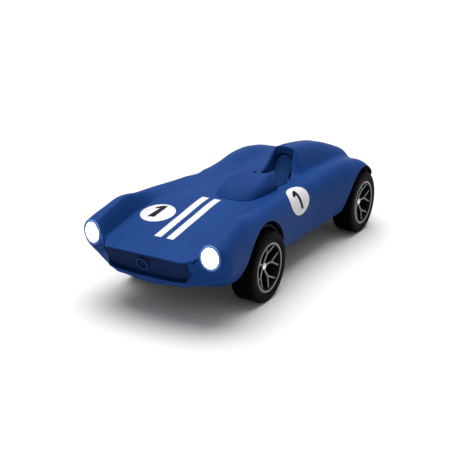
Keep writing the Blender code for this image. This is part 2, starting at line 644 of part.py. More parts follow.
def make_chassis():
    floor = add_object("chassis_base", prism("chassis_base", chassis_outline(), FLOOR_Z, FLOOR_TOP),
                       "chassis_black")
    additions, cutters = [], []
    for side in (-1, 1):
        ledge = [(25.0, FLOOR_Z), (26.0, FLOOR_Z), (29.7, 15.4), (29.7, 19.0), (28.3, 19.0), (28.3, 16.1),
                 (25.0, FLOOR_TOP)]
        additions.append(prism("sill_ledge", [(side * x, z) for x, z in ledge], -23.5, 40.5, "Y"))
        for y in (FRONT_AXLE_Y, REAR_AXLE_Y):
            well = turned("wheel_well", ((WELL_INNER_X - 1.4, 0), (WELL_INNER_X - 1.4, WELL_RADIUS),
                          (34.0, WELL_RADIUS), (34.0, WELL_RADIUS - WELL_WALL),
                          (WELL_INNER_X, WELL_RADIUS - WELL_WALL), (WELL_INNER_X, 0)), 32, 0.5)
            additions.append(moved(mirrored(well, side), (0, y, AXLE_Z)))
            low, high = sorted((side * (WELL_INNER_X + 0.8), side * 60.0))
            cutters.append(box("below_well", (low, y - WELL_RADIUS - 3.0, -20.0),
                               (high, y + WELL_RADIUS + 3.0, AXLE_Z + 1.4)))
        post = box("axle_post", (14.0, FRONT_AXLE_Y - 4.0, FLOOR_Z + 0.5),
                   (17.0, FRONT_AXLE_Y + 4.0, AXLE_Z + 4.0))
        additions.append(mirrored(post, side))
    room_x, room_y = CELL_PITCH * CELL_COUNT / 2 + 1.3, CELL_RADIUS + GAP
    additions.append(box("cell_box", (-room_x - 1.2, CELL_Y - room_y - 1.2, FLOOR_Z + 0.5),
                         (room_x + 1.2, CELL_Y + room_y + 1.2, CELL_Z + CELL_RADIUS + 1.4)))
    join(floor, *additions)

    cutters.append(box("cell_room", (-room_x, CELL_Y - room_y, -10.0),
                       (room_x, CELL_Y + room_y, CELL_Z + CELL_RADIUS + GAP)))
    cutters.append(box("below_floor", (-60, -120, -20.0), (60, 120, FLOOR_Z)))
    for y in (FRONT_AXLE_Y, REAR_AXLE_Y):
        cutters.append(moved(rod("axle_bore", -60, 60, AXLE_RADIUS + 2 * GAP), (0, y, AXLE_Z)))
    cutters.append(box("motor_bay", (-MOTOR_HALF_WIDTH - GAP, MOTOR_Y[0] - GAP, 0.0),
                       (MOTOR_HALF_WIDTH + GAP, MOTOR_Y[1] + GAP, 60.0)))
    cutters.append(box("switch_slot", (-4.2, SWITCH_Y - 1.5, 0.0), (4.2, SWITCH_Y + 1.5, 60.0)))
    for x, y in SCREW_PLACES + MOTOR_SCREW_PLACES:
        cutters.append(moved(upright("floor_bore", 0, 40, SCREW_RADIUS + GAP, 12), (x, y, 0)))
    for x, y in SCREW_PLACES:
        seat = upright("floor_seat", 0, FLOOR_Z + SCREW_HEAD_DEPTH, SCREW_HEAD_RADIUS + GAP, 12)
        cutters.append(moved(seat, (x, y, 0)))
    cut(floor, *cutters)


def screw_mesh(name, length):
    """A pan-head screw that points up, its head's outer face at z = 0, with a cross recess."""
    bm_profile = ((0.0, 0), (0.0, SCREW_HEAD_RADIUS - 0.4), (0.4, SCREW_HEAD_RADIUS),
                  (SCREW_HEAD_DEPTH - GAP, SCREW_HEAD_RADIUS), (SCREW_HEAD_DEPTH - GAP, SCREW_RADIUS),
                  (length - 1.5, SCREW_RADIUS), (length, 0))
    mesh = turned(name, bm_profile, 12)
    mesh.transform(Matrix.Rotation(-math.pi / 2, 4, "Y"))
    return mesh


def make_screws():
    for (x, y), word in zip(SCREW_PLACES, ("front_right", "front_left", "rear_right", "rear_left")):
        add_object(f"body_screw_{word}", screw_mesh(f"body_screw_{word}", SCREW_LENGTH), "steel",
                   place=(x, y, FLOOR_Z + 0.1))
    for (x, y), word in zip(MOTOR_SCREW_PLACES, ("front", "rear")):
        mesh = screw_mesh(f"motor_screw_{word}", 4.6)
        mesh.transform(Matrix.Rotation(math.pi, 4, "X"))
        add_object(f"motor_screw_{word}", mesh, "steel", place=(x, y, FLOOR_TOP + 2.6 + SCREW_HEAD_DEPTH))


def make_cells():
    half_stack = CELL_PITCH * CELL_COUNT / 2
    for i in range(CELL_COUNT):
        x = (i - (CELL_COUNT - 1) / 2) * CELL_PITCH
        half = CELL_WIDTH / 2
        profile = ((x - half, 0), (x - half, CELL_RADIUS - 0.5), (x - half + 0.5, CELL_RADIUS),
                   (x + half - 1.4, CELL_RADIUS), (x + half - 1.2, CELL_RADIUS - 0.7), (x + half, CELL_RADIUS - 0.9),
                   (x + half, 0))
        node = f"button_cell_{i + 1}"
        add_object(node, moved(turned(node, profile, 20), (0, CELL_Y, CELL_Z)), "steel")
    for side, word in ((1, "positive"), (-1, "negative")):
        near, far = half_stack + 0.1, half_stack + 0.6
        low, high = sorted((side * near, side * far))
        node = f"cell_contact_{word}"
        plate = box(node, (low, CELL_Y - 3.5, CELL_Z - 4.5), (high, CELL_Y + 3.5, CELL_Z + 4.5))
        add_object(node, plate, "brass")
    door_x, door_y = half_stack + 1.3 - GAP, CELL_RADIUS
    door = add_object("cell_door", box("cell_door", (-door_x, CELL_Y - door_y, FLOOR_Z),
                                       (door_x, CELL_Y + door_y, FLOOR_TOP)), "chassis_black")
    cut(door, box("door_grip", (-3.0, CELL_Y - 4.0, FLOOR_Z - 1.0), (3.0, CELL_Y - 2.8, FLOOR_Z + 0.6)))


def make_switch():
    room = (4.4, 2.4)
    low_z, high_z = FLOOR_TOP + GAP, FLOOR_TOP + 5.5
    housing = add_object("switch_housing", box("switch_housing", (-6.0, SWITCH_Y - 3.4, low_z),
                                               (6.0, SWITCH_Y + 3.4, high_z)), "chassis_black")
    cut(housing, box("switch_room", (-room[0], SWITCH_Y - room[1], 0.0),
                     (room[0], SWITCH_Y + room[1], high_z - 1.2)))
    knob_x = -SWITCH_TRAVEL / 2
    outline = [(1.1, 10.9), (1.1, FLOOR_TOP + 0.6), (2.2, FLOOR_TOP + 0.6), (2.2, FLOOR_TOP + 3.4),
               (-2.2, FLOOR_TOP + 3.4), (-2.2, FLOOR_TOP + 0.6), (-1.1, FLOOR_TOP + 0.6), (-1.1, 10.9)]
    add_object("switch_slider", prism("switch_slider", outline, SWITCH_Y - 1.1, SWITCH_Y + 1.1, "Y"), "gear_white",
               place=(knob_x, 0, 0))


def make_lamp_board():
    board = box("lamp_board", (-9.0, BOARD_Y, FLOOR_TOP + GAP), (9.0, BOARD_Y + 1.2, FLOOR_TOP + 11.5))
    add_object("lamp_board", board, "board_green")
    chip = box("board_chip", (-3.0, BOARD_Y - 1.5 - GAP, FLOOR_TOP + 4.5),
               (3.0, BOARD_Y - GAP, FLOOR_TOP + 8.5))
    add_object("board_chip", chip, "chassis_black")


def smooth_route(points, steps=3):
    """A Catmull-Rom curve through a lead's own points."""
    ends = [Vector(points[0]) * 2 - Vector(points[1])] + [Vector(p) for p in points]
    ends.append(Vector(points[-1]) * 2 - Vector(points[-2]))
    route = []
    for i in range(1, len(ends) - 2):
        a, b, c, d = ends[i - 1:i + 3]
        for k in range(steps):
            t = k / steps
            route.append(0.5 * (2 * b + (c - a) * t + (2 * a - 5 * b + 4 * c - d) * t ** 2
                                + (3 * b - a - 3 * c + d) * t ** 3))
    return route + [ends[-2]]


def make_lead(name, points, finish):
    """A stranded lead held inside the body along its whole route."""
    curve = bpy.data.curves.new(name, "CURVE")
    curve.dimensions = "3D"
    curve.bevel_depth = 0.45 * MM
    curve.bevel_resolution = 2
    curve.use_fill_caps = True
    route = smooth_route(points)
    spline = curve.splines.new("POLY")
    spline.points.add(len(route) - 1)
    for target, point in zip(spline.points, route):
        target.co = (*(point * MM), 1.0)
    obj = bpy.data.objects.new(name, curve)
    bpy.context.scene.collection.objects.link(obj)
    curve.materials.append(material(finish))


def make_leads():
    lamp_y = LAMP_FACE_Y + LAMP_DEPTH + 1.0 + GAP
    for side, word in ((1, "left"), (-1, "right")):
        route = [(side * LAMP_X, lamp_y, LAMP_Z), (side * 30.5, lamp_y + 4.0, LAMP_Z - 0.5),
                 (side * 24.0, -77.0, 33.0), (side * 14.0, -75.8, 30.5), (side * 9.0, -73.0, 27.5),
                 (side * 7.5, BOARD_Y - 2.5, 24.5), (side * 7.5, BOARD_Y - 0.8, 22.0)]
        make_lead(f"lamp_lead_{word}", route, "lead_red")
    supply = [(6.0, BOARD_Y + 2.0, 22.0), (7.0, BOARD_Y + 5.0, 23.5), (8.5, -56.0, 25.0), (9.0, -44.0, 24.8),
              (10.5, -30.0, 22.0), (13.0, -18.0, 17.5), (14.0, -6.0, 16.0), (13.0, 8.0, 16.0), (9.0, SWITCH_Y, 16.5),
              (6.8, SWITCH_Y, 17.0)]
    make_lead("supply_lead", supply, "lead_red")


# ---------------------------------------------------------------- wheels and axles

def tyre_mesh(name):
    half = TYRE_WIDTH / 2
    profile = ((-half, TYRE_BORE), (-half, TYRE_RADIUS - 1.8), (-half + 0.5, TYRE_RADIUS - 0.5),
               (-half + 1.8, TYRE_RADIUS), (half - 1.8, TYRE_RADIUS), (half - 0.5, TYRE_RADIUS - 0.5),
               (half, TYRE_RADIUS - 1.8), (half, TYRE_BORE))
    return turned(name, profile, WHEEL_SIDES, 0.5)


def spoke_outline(hub, barrel):
    """Five forked spokes round a hub, as one outline of (y, z) points that ends inside the barrel."""
    points = []
    stem, arm = 0.62, 0.5
    fork_radius, spread = hub + 3.4, math.radians(19.0)
    for spoke in range(5):
        middle = math.radians(90 + 72 * spoke)

        def polar(radius, angle, sideways, aim):
            tangent = aim + math.pi / 2
            return (radius * math.cos(angle) + sideways * math.cos(tangent),
                    radius * math.sin(angle) + sideways * math.sin(tangent))

        points.append(polar(hub, middle - math.radians(36), 0.0, middle))
        points.append(polar(hub + 0.3, middle, -stem, middle))
        points.append(polar(fork_radius - 0.6, middle, -stem, middle))
        for sign in (-1, 1):
            end = middle + sign * spread
            tip = polar(barrel, end, 0.0, end)
            root = polar(fork_radius, middle, 0.0, middle)
            aim = math.atan2(tip[1] - root[1], tip[0] - root[0])
            if sign < 0:
                points += [polar(barrel, end, -arm, aim), polar(barrel, end, arm, aim),
                           polar(fork_radius + 1.2, middle, 0.0, middle)]
            else:
                points += [polar(barrel, end, -arm, aim), polar(barrel, end, arm, aim)]
        points.append(polar(fork_radius - 0.6, middle, stem, middle))
        points.append(polar(hub + 0.3, middle, stem, middle))
    return points


def make_rim(name, parent, place, side):
    """A barrel with a forked-spoke face on its outer side. side is the way its face looks along X."""
    half = TYRE_WIDTH / 2 - 0.7
    outer = TYRE_BORE - GAP
    barrel = ((-half, outer), (half, outer), (half, outer - 1.2), (-half, outer - 1.2))
    rim = add_object(name, mirrored(turned(name, barrel, 24, 0.5), side), "rim_black", parent, place)
    face = prism(f"{name}_spokes", spoke_outline(2.7, outer - 0.7), half - 3.4, half - 1.4, "X")
    hub = rod(f"{name}_hub", 1.5 - half, half - 1.2, 3.0)
    bore = rod(f"{name}_bore", -half - 5.0, half + 5.0, AXLE_RADIUS + GAP)
    centre = Vector(place) + parent.location / MM
    join(rim, moved(mirrored(hub, side), centre), moved(mirrored(face, side), centre))
    cut(rim, moved(bore, centre))


def make_wheel_set(word, y):
    """An axle with a wheel pressed on each end, turning about one empty."""
    pivot = empty(f"{word}_axle_pivot", (0, y, AXLE_Z))
    wheel_x = TRACK_OUTER - TYRE_WIDTH / 2
    axle_end = wheel_x + TYRE_WIDTH / 2 - 2.6
    add_object(f"{word}_axle", rod(f"{word}_axle", -axle_end, axle_end, AXLE_RADIUS), "steel", pivot)
    for side, hand in ((1, "left"), (-1, "right")):
        node = f"{word}_{hand}"
        add_object(f"tyre_{node}", tyre_mesh(f"tyre_{node}"), "tyre_black", pivot, (side * wheel_x, 0, 0))
        make_rim(f"rim_{node}", pivot, (side * wheel_x, 0, 0), side)
        cap_x = wheel_x + TYRE_WIDTH / 2 - 1.6
        cap = turned(f"hub_cap_{node}", ((cap_x, 0), (cap_x, 2.4), (cap_x + 0.6, 2.2), (cap_x + 1.1, 1.2),
                                         (cap_x + 1.2, 0)), 16)
        add_object(f"hub_cap_{node}", mirrored(cap, side), "chrome", pivot)
    return pivot


# ---------------------------------------------------------------- pull-back motor

def gear_outline(teeth, phase):
    """Stub teeth as (y, z) points, one of them centred on the phase angle in radians."""
    pitch_radius = MODULE * teeth / 2
    tip, root = pitch_radius + 0.75 * MODULE, pitch_radius - 0.95 * MODULE
    pitch = 2 * math.pi / teeth
    points = []
    for tooth in range(teeth):
        middle = phase + pitch * tooth
        for radius, half in ((root, -0.27), (tip, -0.11), (tip, 0.11), (root, 0.27)):
            points.append((radius, middle + half * pitch))
    return [(radius * math.cos(a), radius * math.sin(a)) for radius, a in points]


def gear_centre(start, angle):
    reach = MODULE * (PINION_TEETH + WHEEL_TEETH) / 2 + MESH_CLEARANCE
    return start[0] + reach * math.cos(angle), start[1] + reach * math.sin(angle)


def make_motor(axle_pivot):
    axle = (REAR_AXLE_Y, AXLE_Z)
    compound = gear_centre(axle, COMPOUND_ANGLE)
    drum = gear_centre(compound, DRUM_ANGLE)
    pitch_wheel = 2 * math.pi / WHEEL_TEETH

    pinion = prism("axle_pinion", gear_outline(PINION_TEETH, COMPOUND_ANGLE), 3.0, 6.6, "X")
    gear = add_object("axle_pinion", pinion, "brass", axle_pivot)
    cut(gear, moved(rod("axle_pinion_bore", -10, 20, AXLE_RADIUS + 0.15), (0, *axle)))

    pivot = empty("compound_pivot", (0, *compound))
    wheel_phase = COMPOUND_ANGLE + math.pi + pitch_wheel / 2
    wheel = prism("compound_gear", gear_outline(WHEEL_TEETH, wheel_phase), 3.6, 5.8, "X")
    gear = add_object("compound_gear", wheel, "gear_white", pivot)
    small = prism("compound_small", gear_outline(PINION_TEETH, DRUM_ANGLE), -0.6, 4.0, "X")
    join(gear, moved(small, (0, *compound)))
    cut(gear, moved(rod("compound_bore", -20, 20, SHAFT_RADIUS + GAP, 12), (0, *compound)))

    pivot = empty("drum_pivot", (0, *drum))
    drum_phase = DRUM_ANGLE + math.pi + pitch_wheel / 2
    wheel = prism("drum_gear", gear_outline(WHEEL_TEETH, drum_phase), -0.4, 2.4, "X")
    gear = add_object("drum_gear", wheel, "gear_white", pivot)
    cup = turned("drum_cup", ((0.2, SHAFT_RADIUS + GAP), (0.2, DRUM_RADIUS), (-7.6, DRUM_RADIUS),
                              (-7.6, DRUM_RADIUS - DRUM_WALL), (-0.8, DRUM_RADIUS - DRUM_WALL),
                              (-0.8, SHAFT_RADIUS + GAP)), 20)
    join(gear, moved(cup, (0, *drum)))
    cut(gear, moved(rod("drum_bore", -20, 20, SHAFT_RADIUS + GAP, 12), (0, *drum)))

    for node, centre in (("compound_shaft", compound), ("drum_shaft", drum)):
        end = MOTOR_HALF_WIDTH - MOTOR_WALL - GAP
        add_object(node, rod(node, -end, end, SHAFT_RADIUS, 12), "steel", place=(0, *centre))
    make_mainspring(drum)
    make_motor_case()


def make_mainspring(drum):
    """A strip wound in a spiral inside the drum, between the drum's wall and its shaft."""
    inner, outer = SHAFT_RADIUS + 1.2, DRUM_RADIUS - DRUM_WALL - 0.8
    steps = SPRING_TURNS * 12
    near, far = [], []
    for i in range(steps + 1):
        angle = 2 * math.pi * SPRING_TURNS * i / steps
        radius = inner + (outer - inner) * i / steps
        near.append((radius * math.cos(angle), radius * math.sin(angle)))
        far.append(((radius + SPRING_STRIP) * math.cos(angle), (radius + SPRING_STRIP) * math.sin(angle)))
    strip = prism("mainspring", near + far[::-1], -6.8, -1.4, "X")
    add_object("mainspring", strip, "steel", place=(0, *drum))


def make_motor_case():
    """Two halves that meet on the middle plane, each an open cup with one mounting tab."""
    for side, word, (tab_x, tab_y) in ((1, "left", MOTOR_SCREW_PLACES[0]),
                                       (-1, "right", MOTOR_SCREW_PLACES[1])):
        low, high = sorted((side * GAP / 2, side * MOTOR_HALF_WIDTH))
        half = add_object(f"motor_case_{word}", box(f"motor_case_{word}", (low, MOTOR_Y[0], MOTOR_Z[0]),
                                                    (high, MOTOR_Y[1], MOTOR_Z[1])), "motor_grey")
        towards_case = 1 if tab_y < MOTOR_Y[0] else -1
        near, far = sorted((tab_y - towards_case * 3.0, tab_y + towards_case * 5.0))
        join(half, box(f"case_tab_{word}", (tab_x - 3.5, near, FLOOR_TOP + GAP),
                       (tab_x + 3.5, far, FLOOR_TOP + 2.3)))
        low, high = sorted((-side * 5.0, side * (MOTOR_HALF_WIDTH - MOTOR_WALL)))
        cut(half,
            box(f"case_room_{word}", (low, MOTOR_Y[0] + MOTOR_WALL, MOTOR_Z[0] + MOTOR_WALL),
                (high, MOTOR_Y[1] - MOTOR_WALL, MOTOR_Z[1] - MOTOR_WALL)),
            moved(rod(f"case_bore_{word}", -40, 40, AXLE_RADIUS + GAP), (0, REAR_AXLE_Y, AXLE_Z)),
            moved(upright(f"tab_bore_{word}", 0, 30, SCREW_RADIUS + GAP, 12), (tab_x, tab_y, 0)))


def main():
    clear_scene()
    make_body_shell()
    make_windscreen()
    make_cockpit()
    make_nose()
    make_chassis()
    make_screws()
    make_cells()
    make_switch()
    make_lamp_board()
    make_leads()
    make_wheel_set("front", FRONT_AXLE_Y)
    make_motor(make_wheel_set("rear", REAR_AXLE_Y))


main()
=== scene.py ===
"""Looks of the toy racing car: fine skins, decals, wheels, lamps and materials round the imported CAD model.

The car stands on z = 0 with its nose towards -Y and its left side towards +X.
Sizes are in millimetres, times MM where they reach Blender's metres.
"""

import math

import bmesh
import bpy
from mathutils import Matrix, Vector


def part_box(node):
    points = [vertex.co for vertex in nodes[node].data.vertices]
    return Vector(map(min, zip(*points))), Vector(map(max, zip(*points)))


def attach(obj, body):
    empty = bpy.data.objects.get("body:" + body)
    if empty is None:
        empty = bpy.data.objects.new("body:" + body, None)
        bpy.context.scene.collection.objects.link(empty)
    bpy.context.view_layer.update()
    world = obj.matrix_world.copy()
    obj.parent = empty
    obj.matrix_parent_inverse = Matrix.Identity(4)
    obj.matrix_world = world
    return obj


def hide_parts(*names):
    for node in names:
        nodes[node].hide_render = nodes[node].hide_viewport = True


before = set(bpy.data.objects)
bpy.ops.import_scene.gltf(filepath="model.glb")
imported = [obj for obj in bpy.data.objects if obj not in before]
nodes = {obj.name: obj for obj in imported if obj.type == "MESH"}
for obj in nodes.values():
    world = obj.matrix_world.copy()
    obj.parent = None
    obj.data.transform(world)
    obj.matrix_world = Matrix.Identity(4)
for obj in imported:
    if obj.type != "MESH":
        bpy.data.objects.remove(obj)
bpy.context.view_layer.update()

MM = 0.001

# ---- sizes

TYRE_WIDTH = 12.5
TYRE_BORE = 11.9
AXLE_RADIUS = 1.25
GAP = 0.3
WALL = 2.0
FRONT_ARCH_RADIUS, REAR_ARCH_RADIUS = 22.8, 20.8
FRONT_ARCH_LEAD = 1.8
ARCH_INNER_X, ARCH_OUTER_X = 21.6, 50.0
FACE_Y = -97.8
FACE_TOP_Z = 34.0
FACE_LEAN = 0.33
LAMP_SETBACK, LAMP_SHARE_X, LAMP_SHARE_WIDTH = 7.0, 21.5, 6.5
LIP_ROUNDING, LAMP_ROUNDING = 0.6, 3.2
CORE_Z, CORE_SHARE_X, CORE_SHARE_Z = 28.0, 0.82, 0.04
NOSE_SECTION_Y = -90.0
NOSE_STEPS, LIP_STEPS, FACE_STEPS = 20, 6, 10
TAIL_START_Y, TAIL_END_Y = 79.0, 98.45
TAIL_CENTRE_Z = 27.0
TAIL_POWER = 1.75
HUMP_X, HUMP_HALF_WIDTH, HUMP_POWER = 8.5, 12.9, 2.2
HUMP_HOLLOW_Y, HUMP_HOLLOW_LENGTH = 36.0, 8.0
SOLID_WINGS_Y = -20.0
THICK_TAIL_Y, THICK_TAIL_LENGTH = 87.0, 5.0
SKIRT_DROP, SKIRT_FOOT_Z = 0.5, 5.0
SIDE_POWER = 2.6
CREASE_SHARE, CREASE_START_Y, CREASE_LENGTH, CREASE_POWER = 0.65, -30.0, 40.0, 2.2

# Key lines of the body, each a smooth curve through (y, value)
DECK_Z = ((-98, 33.8), (-90, 34.8), (-80, 36.2), (-60, 39.6), (-37, 42.8), (-15, 42.4), (10, 41.6), (35, 41.6),
          (55, 41.8), (70, 41.0), (85, 38.5), (100, 36.0))
CREST_X = ((-98, 30.5), (-70, 31.0), (-45, 30.5), (-20, 28.0), (6, 25.5), (30, 26.5), (55, 28.0), (75, 28.0),
           (100, 26.0))
CREST_Z = ((-98, 38.5), (-90, 42.6), (-80, 45.2), (-68, 47.5), (-55, 45.8), (-42, 45.1), (-25, 44.2), (-8, 43.7),
           (6, 43.6), (20, 44.1), (35, 45.2), (50, 44.4), (60, 42.9), (70, 40.9), (82, 35.2), (92, 33.2),
           (100, 32.6))
VALLEY_X = ((-98, 24.5), (-90, 26.2), (-80, 27.0), (-66, 27.2), (-54, 25.5), (-42, 21.0), (-20, 14.0), (10, 14.0),
            (35, 17.0), (60, 18.0), (100, 16.0))
SIDE_X = ((-98, 36.0), (-88, 40.2), (-75, 39.3), (-60, 38.5), (-48, 37.6), (-30, 35.8), (-10, 34.4), (6, 34.0),
          (20, 34.6), (35, 36.0), (50, 37.6), (65, 38.3), (75, 37.3), (85, 35.6), (100, 34.0))
SIDE_Z = ((-98, 30.0), (-70, 31.0), (-30, 30.5), (6, 30.0), (40, 31.0), (65, 31.5), (85, 29.0), (100, 27.5))
SILL_X = ((-98, 16.0), (-90, 19.5), (-83, 30.5), (-76, 33.8), (-45, 34.0), (-20, 32.6), (6, 32.2), (30, 33.0),
          (50, 34.0), (85, 34.0), (100, 31.0))
SILL_Z = ((-98, 19.8), (-85, 19.2), (-70, 18.6), (-25, 17.8), (5, 16.6), (45, 17.4), (80, 18.6), (100, 20.0))
BELLY_Z = ((-98, 18.0), (-88, 17.2), (-60, 16.5), (50, 16.5), (80, 17.5), (100, 19.0))
HUMP_H = ((-100, 0.0), (3, 0.0), (12, 2.0), (19, 9.2), (23, 14.4), (29, 14.1), (38, 13.0), (47, 11.5), (56, 9.8),
          (64, 8.0), (72, 5.8), (80, 4.2), (90, 3.4), (100, 3.0))

COCKPIT_X = 9.0
COCKPIT_FRONT_Y, COCKPIT_REAR_Y, COCKPIT_TURN_Y = -29.5, 23.0, -14.0
COCKPIT_TAPER_Y, COCKPIT_CUT_Z = 4.0, (25.0, 70.0)
COCKPIT_HALF_WIDTH, HOOP_HALF_WIDTH = 11.4, 5.4
HOOP_FLOOR_Z, HOOP_TOP_Z, HOOP_DEPTH = 42.2, 52.4, 10.0
SCREEN_X, SCREEN_HALF_WIDTH = 8.3, 12.9
SCREEN_FRONT_Y, SCREEN_TURN_Y = -35.0, -12.0
SCREEN_NEAR_END_Y, SCREEN_FAR_END_Y = -9.5, 13.0
SCREEN_TOP_Z, SCREEN_FAR_END_Z, SCREEN_FAR_FALL = 52.6, 44.4, 0.4
SCREEN_SQUARENESS, SCREEN_THICKNESS = 0.62, 1.6
SCREEN_RAKE, SCREEN_BOW, SCREEN_SIDE_BOW, SCREEN_SIDE_LEAN = 17.0, 2.2, 0.8, 1.6
SCREEN_ROWS, SCREEN_CLEARANCE, SCREEN_LIP_SHARE, SCREEN_LIP_DROP = 14, 0.05, 0.25, 0.1

MOUTH_X, MOUTH_TOP_HALF, MOUTH_BOTTOM_HALF = -0.6, 23.8, 21.3
MOUTH_TOP_Z, MOUTH_BOTTOM_Z, MOUTH_DEPTH = 33.4, 21.1, 4.0
PANEL_THICKNESS = 1.4
RING_X, RING_SET, RING_RADIUS, RING_TUBE, RING_SINK = -3.2, 1.5, 2.9, 0.45, 0.35
LAMP_X, LAMP_Z, LAMP_FACE_Y, LAMP_DEPTH = 32.1, 36.4, -91.6, 8.0
LAMP_HALF_WIDTH, LAMP_HALF_HEIGHT = 4.3, 5.1
LAMP_CANT = math.radians(6.0)
POCKET_START, POCKET_STEP, POCKET_FOOT = -8.0, -0.4, 2.8
POCKET_THROAT_DEPTH, POCKET_THROAT = 0.5, 3.3
LENS_INSET, LENS_FACE, LENS_CROWN, LENS_LAP, LENS_FOOT = 0.25, -1.1, 0.9, 0.1, 0.2
CUP_START, CUP_BULB, CUP_WALL, CUP_DEPTH = 0.6, 1.7, 1.2, 5.7
BEZEL_TUBE, BEZEL_PROUD = 0.55, 0.8

SEAT_FRONT_Y, SEAT_REAR_Y, SEAT_HALF_WIDTH = -13.0, 13.0, 5.9
SEAT_TOP_Y, SEAT_TOP_Z, BACK_FOOT_HALF, BACK_HALF = 25.6, 51.6, 4.4, 4.9
SQUAB_NOSE, SQUAB_NOSE_LENGTH, SQUAB_FOOT_SHARE = 0.82, 0.3, 0.94
SQUAB_HEIGHT, SQUAB_WINGS, SQUAB_SAG = 3.6, 1.1, 0.7
BACK_LAP, BACK_LIFT, BACK_DISH, BACK_SET, BACK_DEPTH, BACK_CROWN = 1.6, 0.5, 0.8, 0.3, 2.4, 0.7
BACK_ROUND_START, BACK_ROUND_SHARE = 0.76, 0.24

SCREW_PLACES = ((-13.0, -68.5), (13.0, -68.5), (-12.0, 84.0), (12.0, 84.0))
BOSS_RADIUS, BOSS_SINK, BOSS_FOOT_Z = 3.0, 1.2, 14.3
SCREW_BORE_RADIUS, SCREW_BORE_TOP_Z = 1.3, 25.0

# Half a section's points on its deck, side, tuck and belly, for the skin and for the cavity
FINE, CAVITY_STEPS = (48, 18, 10, 4), (20, 8, 4, 2)
FLANK_MARGIN = 1.2
TAIL_STATIONS = (98.06, 97.85, 97.5, 97.0, 96.4, 95.7, 94.9, 94.0, 93.0, 91.8, 90.5)
SKIN_REAR_Y, SKIN_FRONT_Y, SKIN_STEP = 89.0, -66.0, 1.5
CAVITY_STATIONS = (94, 91, 88.5, 85, 81, 77, 72, 67, 62, 56, 51, 47, 43, 40, 37, 34, 31, 22, 13, 4, -5, -14, -23,
                   -32, -41, -50, -58, -66, -75, -84)
CUTTER_REACH = 12.0
SHARP_ANGLE = 38.0
STICKER_LIFT, STICKER_THICKNESS = 0.07, 0.16


# ---- materials

PLASTIC_IOR, RUBBER_IOR = 1.10, 1.09


def node_tree(name):
    """A new material with its node tree and shader."""
    made = bpy.data.materials.new(name)
    made.use_nodes = True
    tree = made.node_tree
    return made, tree, tree.nodes["Principled BSDF"]


def put(node, values):
    """Sets a node's sockets from {name: value}."""
    for name, value in values.items():
        node.inputs[name].default_value = value


def pattern(tree, kind, scale, stretch=None, **settings):
    """A texture in the piece's own coordinates, at so many repeats to the metre, stretched if that is given."""
    source = tree.nodes.new("ShaderNodeTexCoord").outputs["Object"]
    if stretch:
        mapping = tree.nodes.new("ShaderNodeMapping")
        put(mapping, {"Scale": stretch})
        tree.links.new(source, mapping.inputs["Vector"])
        source = mapping.outputs["Vector"]
    made = tree.nodes.new("ShaderNodeTex" + kind)
    tree.links.new(source, made.inputs["Vector"])
    put(made, {"Scale": scale, **settings})
    return made


def ramp(tree, source, shader, low, high, start=0.3, end=0.7, socket="Base Color"):
    """The shader's colour follows a pattern from low to high."""
    made = tree.nodes.new("ShaderNodeValToRGB")
    first, last = made.color_ramp.elements
    first.position, last.position = start, end
    first.color, last.color = (*low, 1.0), (*high, 1.0)
    tree.links.new(source.outputs["Fac"], made.inputs["Fac"])
    tree.links.new(made.outputs["Color"], shader.inputs[socket])


def spread(tree, source, shader, low, high):
    """The shader's roughness follows a pattern from low to high."""
    made = tree.nodes.new("ShaderNodeMapRange")
    put(made, {"To Min": low, "To Max": high})
    tree.links.new(source.outputs["Fac"], made.inputs["Value"])
    tree.links.new(made.outputs["Result"], shader.inputs["Roughness"])


def bump(tree, shader, source, strength, depth, before=None):
    """Fine relief, depth in millimetres, over the normal that came before it."""
    made = tree.nodes.new("ShaderNodeBump")
    put(made, {"Strength": strength, "Distance": depth * MM})
    tree.links.new(source.outputs["Fac"], made.inputs["Height"])
    if before:
        tree.links.new(before, made.inputs["Normal"])
    tree.links.new(made.outputs["Normal"], shader.inputs["Normal"])


def rounded(tree, radius):
    """Softens sharp edges by a radius in millimetres."""
    made = tree.nodes.new("ShaderNodeBevel")
    made.samples = 6
    put(made, {"Radius": radius * MM})
    return made.outputs["Normal"]


def moulded(name, dark, light, gloss, grain=900.0, depth=0.02, edge=0.0):
    """Moulded or painted plastic: soft colour drift, fine grain, and roughness that varies a little."""
    made, tree, shader = node_tree(name)
    drift = pattern(tree, "Noise", 38.0, Detail=3.0)
    fine = pattern(tree, "Noise", grain, Detail=4.0, Roughness=0.55)
    ramp(tree, drift, shader, dark, light)
    spread(tree, fine, shader, gloss - 0.06, gloss + 0.06)
    put(shader, {"IOR": PLASTIC_IOR})
    bump(tree, shader, fine, 0.35, depth, rounded(tree, edge) if edge else None)
    return made


def rubber(name):
    """Tyre rubber: dark, matt and faintly pitted, dustier where it has rubbed."""
    made, tree, shader = node_tree(name)
    pits = pattern(tree, "Noise", 1600.0, Detail=5.0, Roughness=0.6)
    dust = pattern(tree, "Noise", 120.0, Detail=6.0)
    ramp(tree, dust, shader, (0.0010, 0.0010, 0.0011), (0.0022, 0.0022, 0.0022), 0.4, 0.8)
    spread(tree, pits, shader, 0.42, 0.6)
    put(shader, {"IOR": RUBBER_IOR})
    bump(tree, shader, pits, 0.3, 0.03)
    return made


def metal(name, dark, light, gloss, brushed=(1.0, 1.0, 1.0), metallic=1.0, scale=500.0):
    """Metal with fine scratches, stretched along one direction where it is brushed or turned."""
    made, tree, shader = node_tree(name)
    lines = pattern(tree, "Noise", scale, brushed, Detail=5.0)
    ramp(tree, lines, shader, dark, light)
    spread(tree, lines, shader, max(gloss - 0.07, 0.03), gloss + 0.07)
    put(shader, {"Metallic": metallic})
    bump(tree, shader, lines, 0.15, 0.01)
    return made


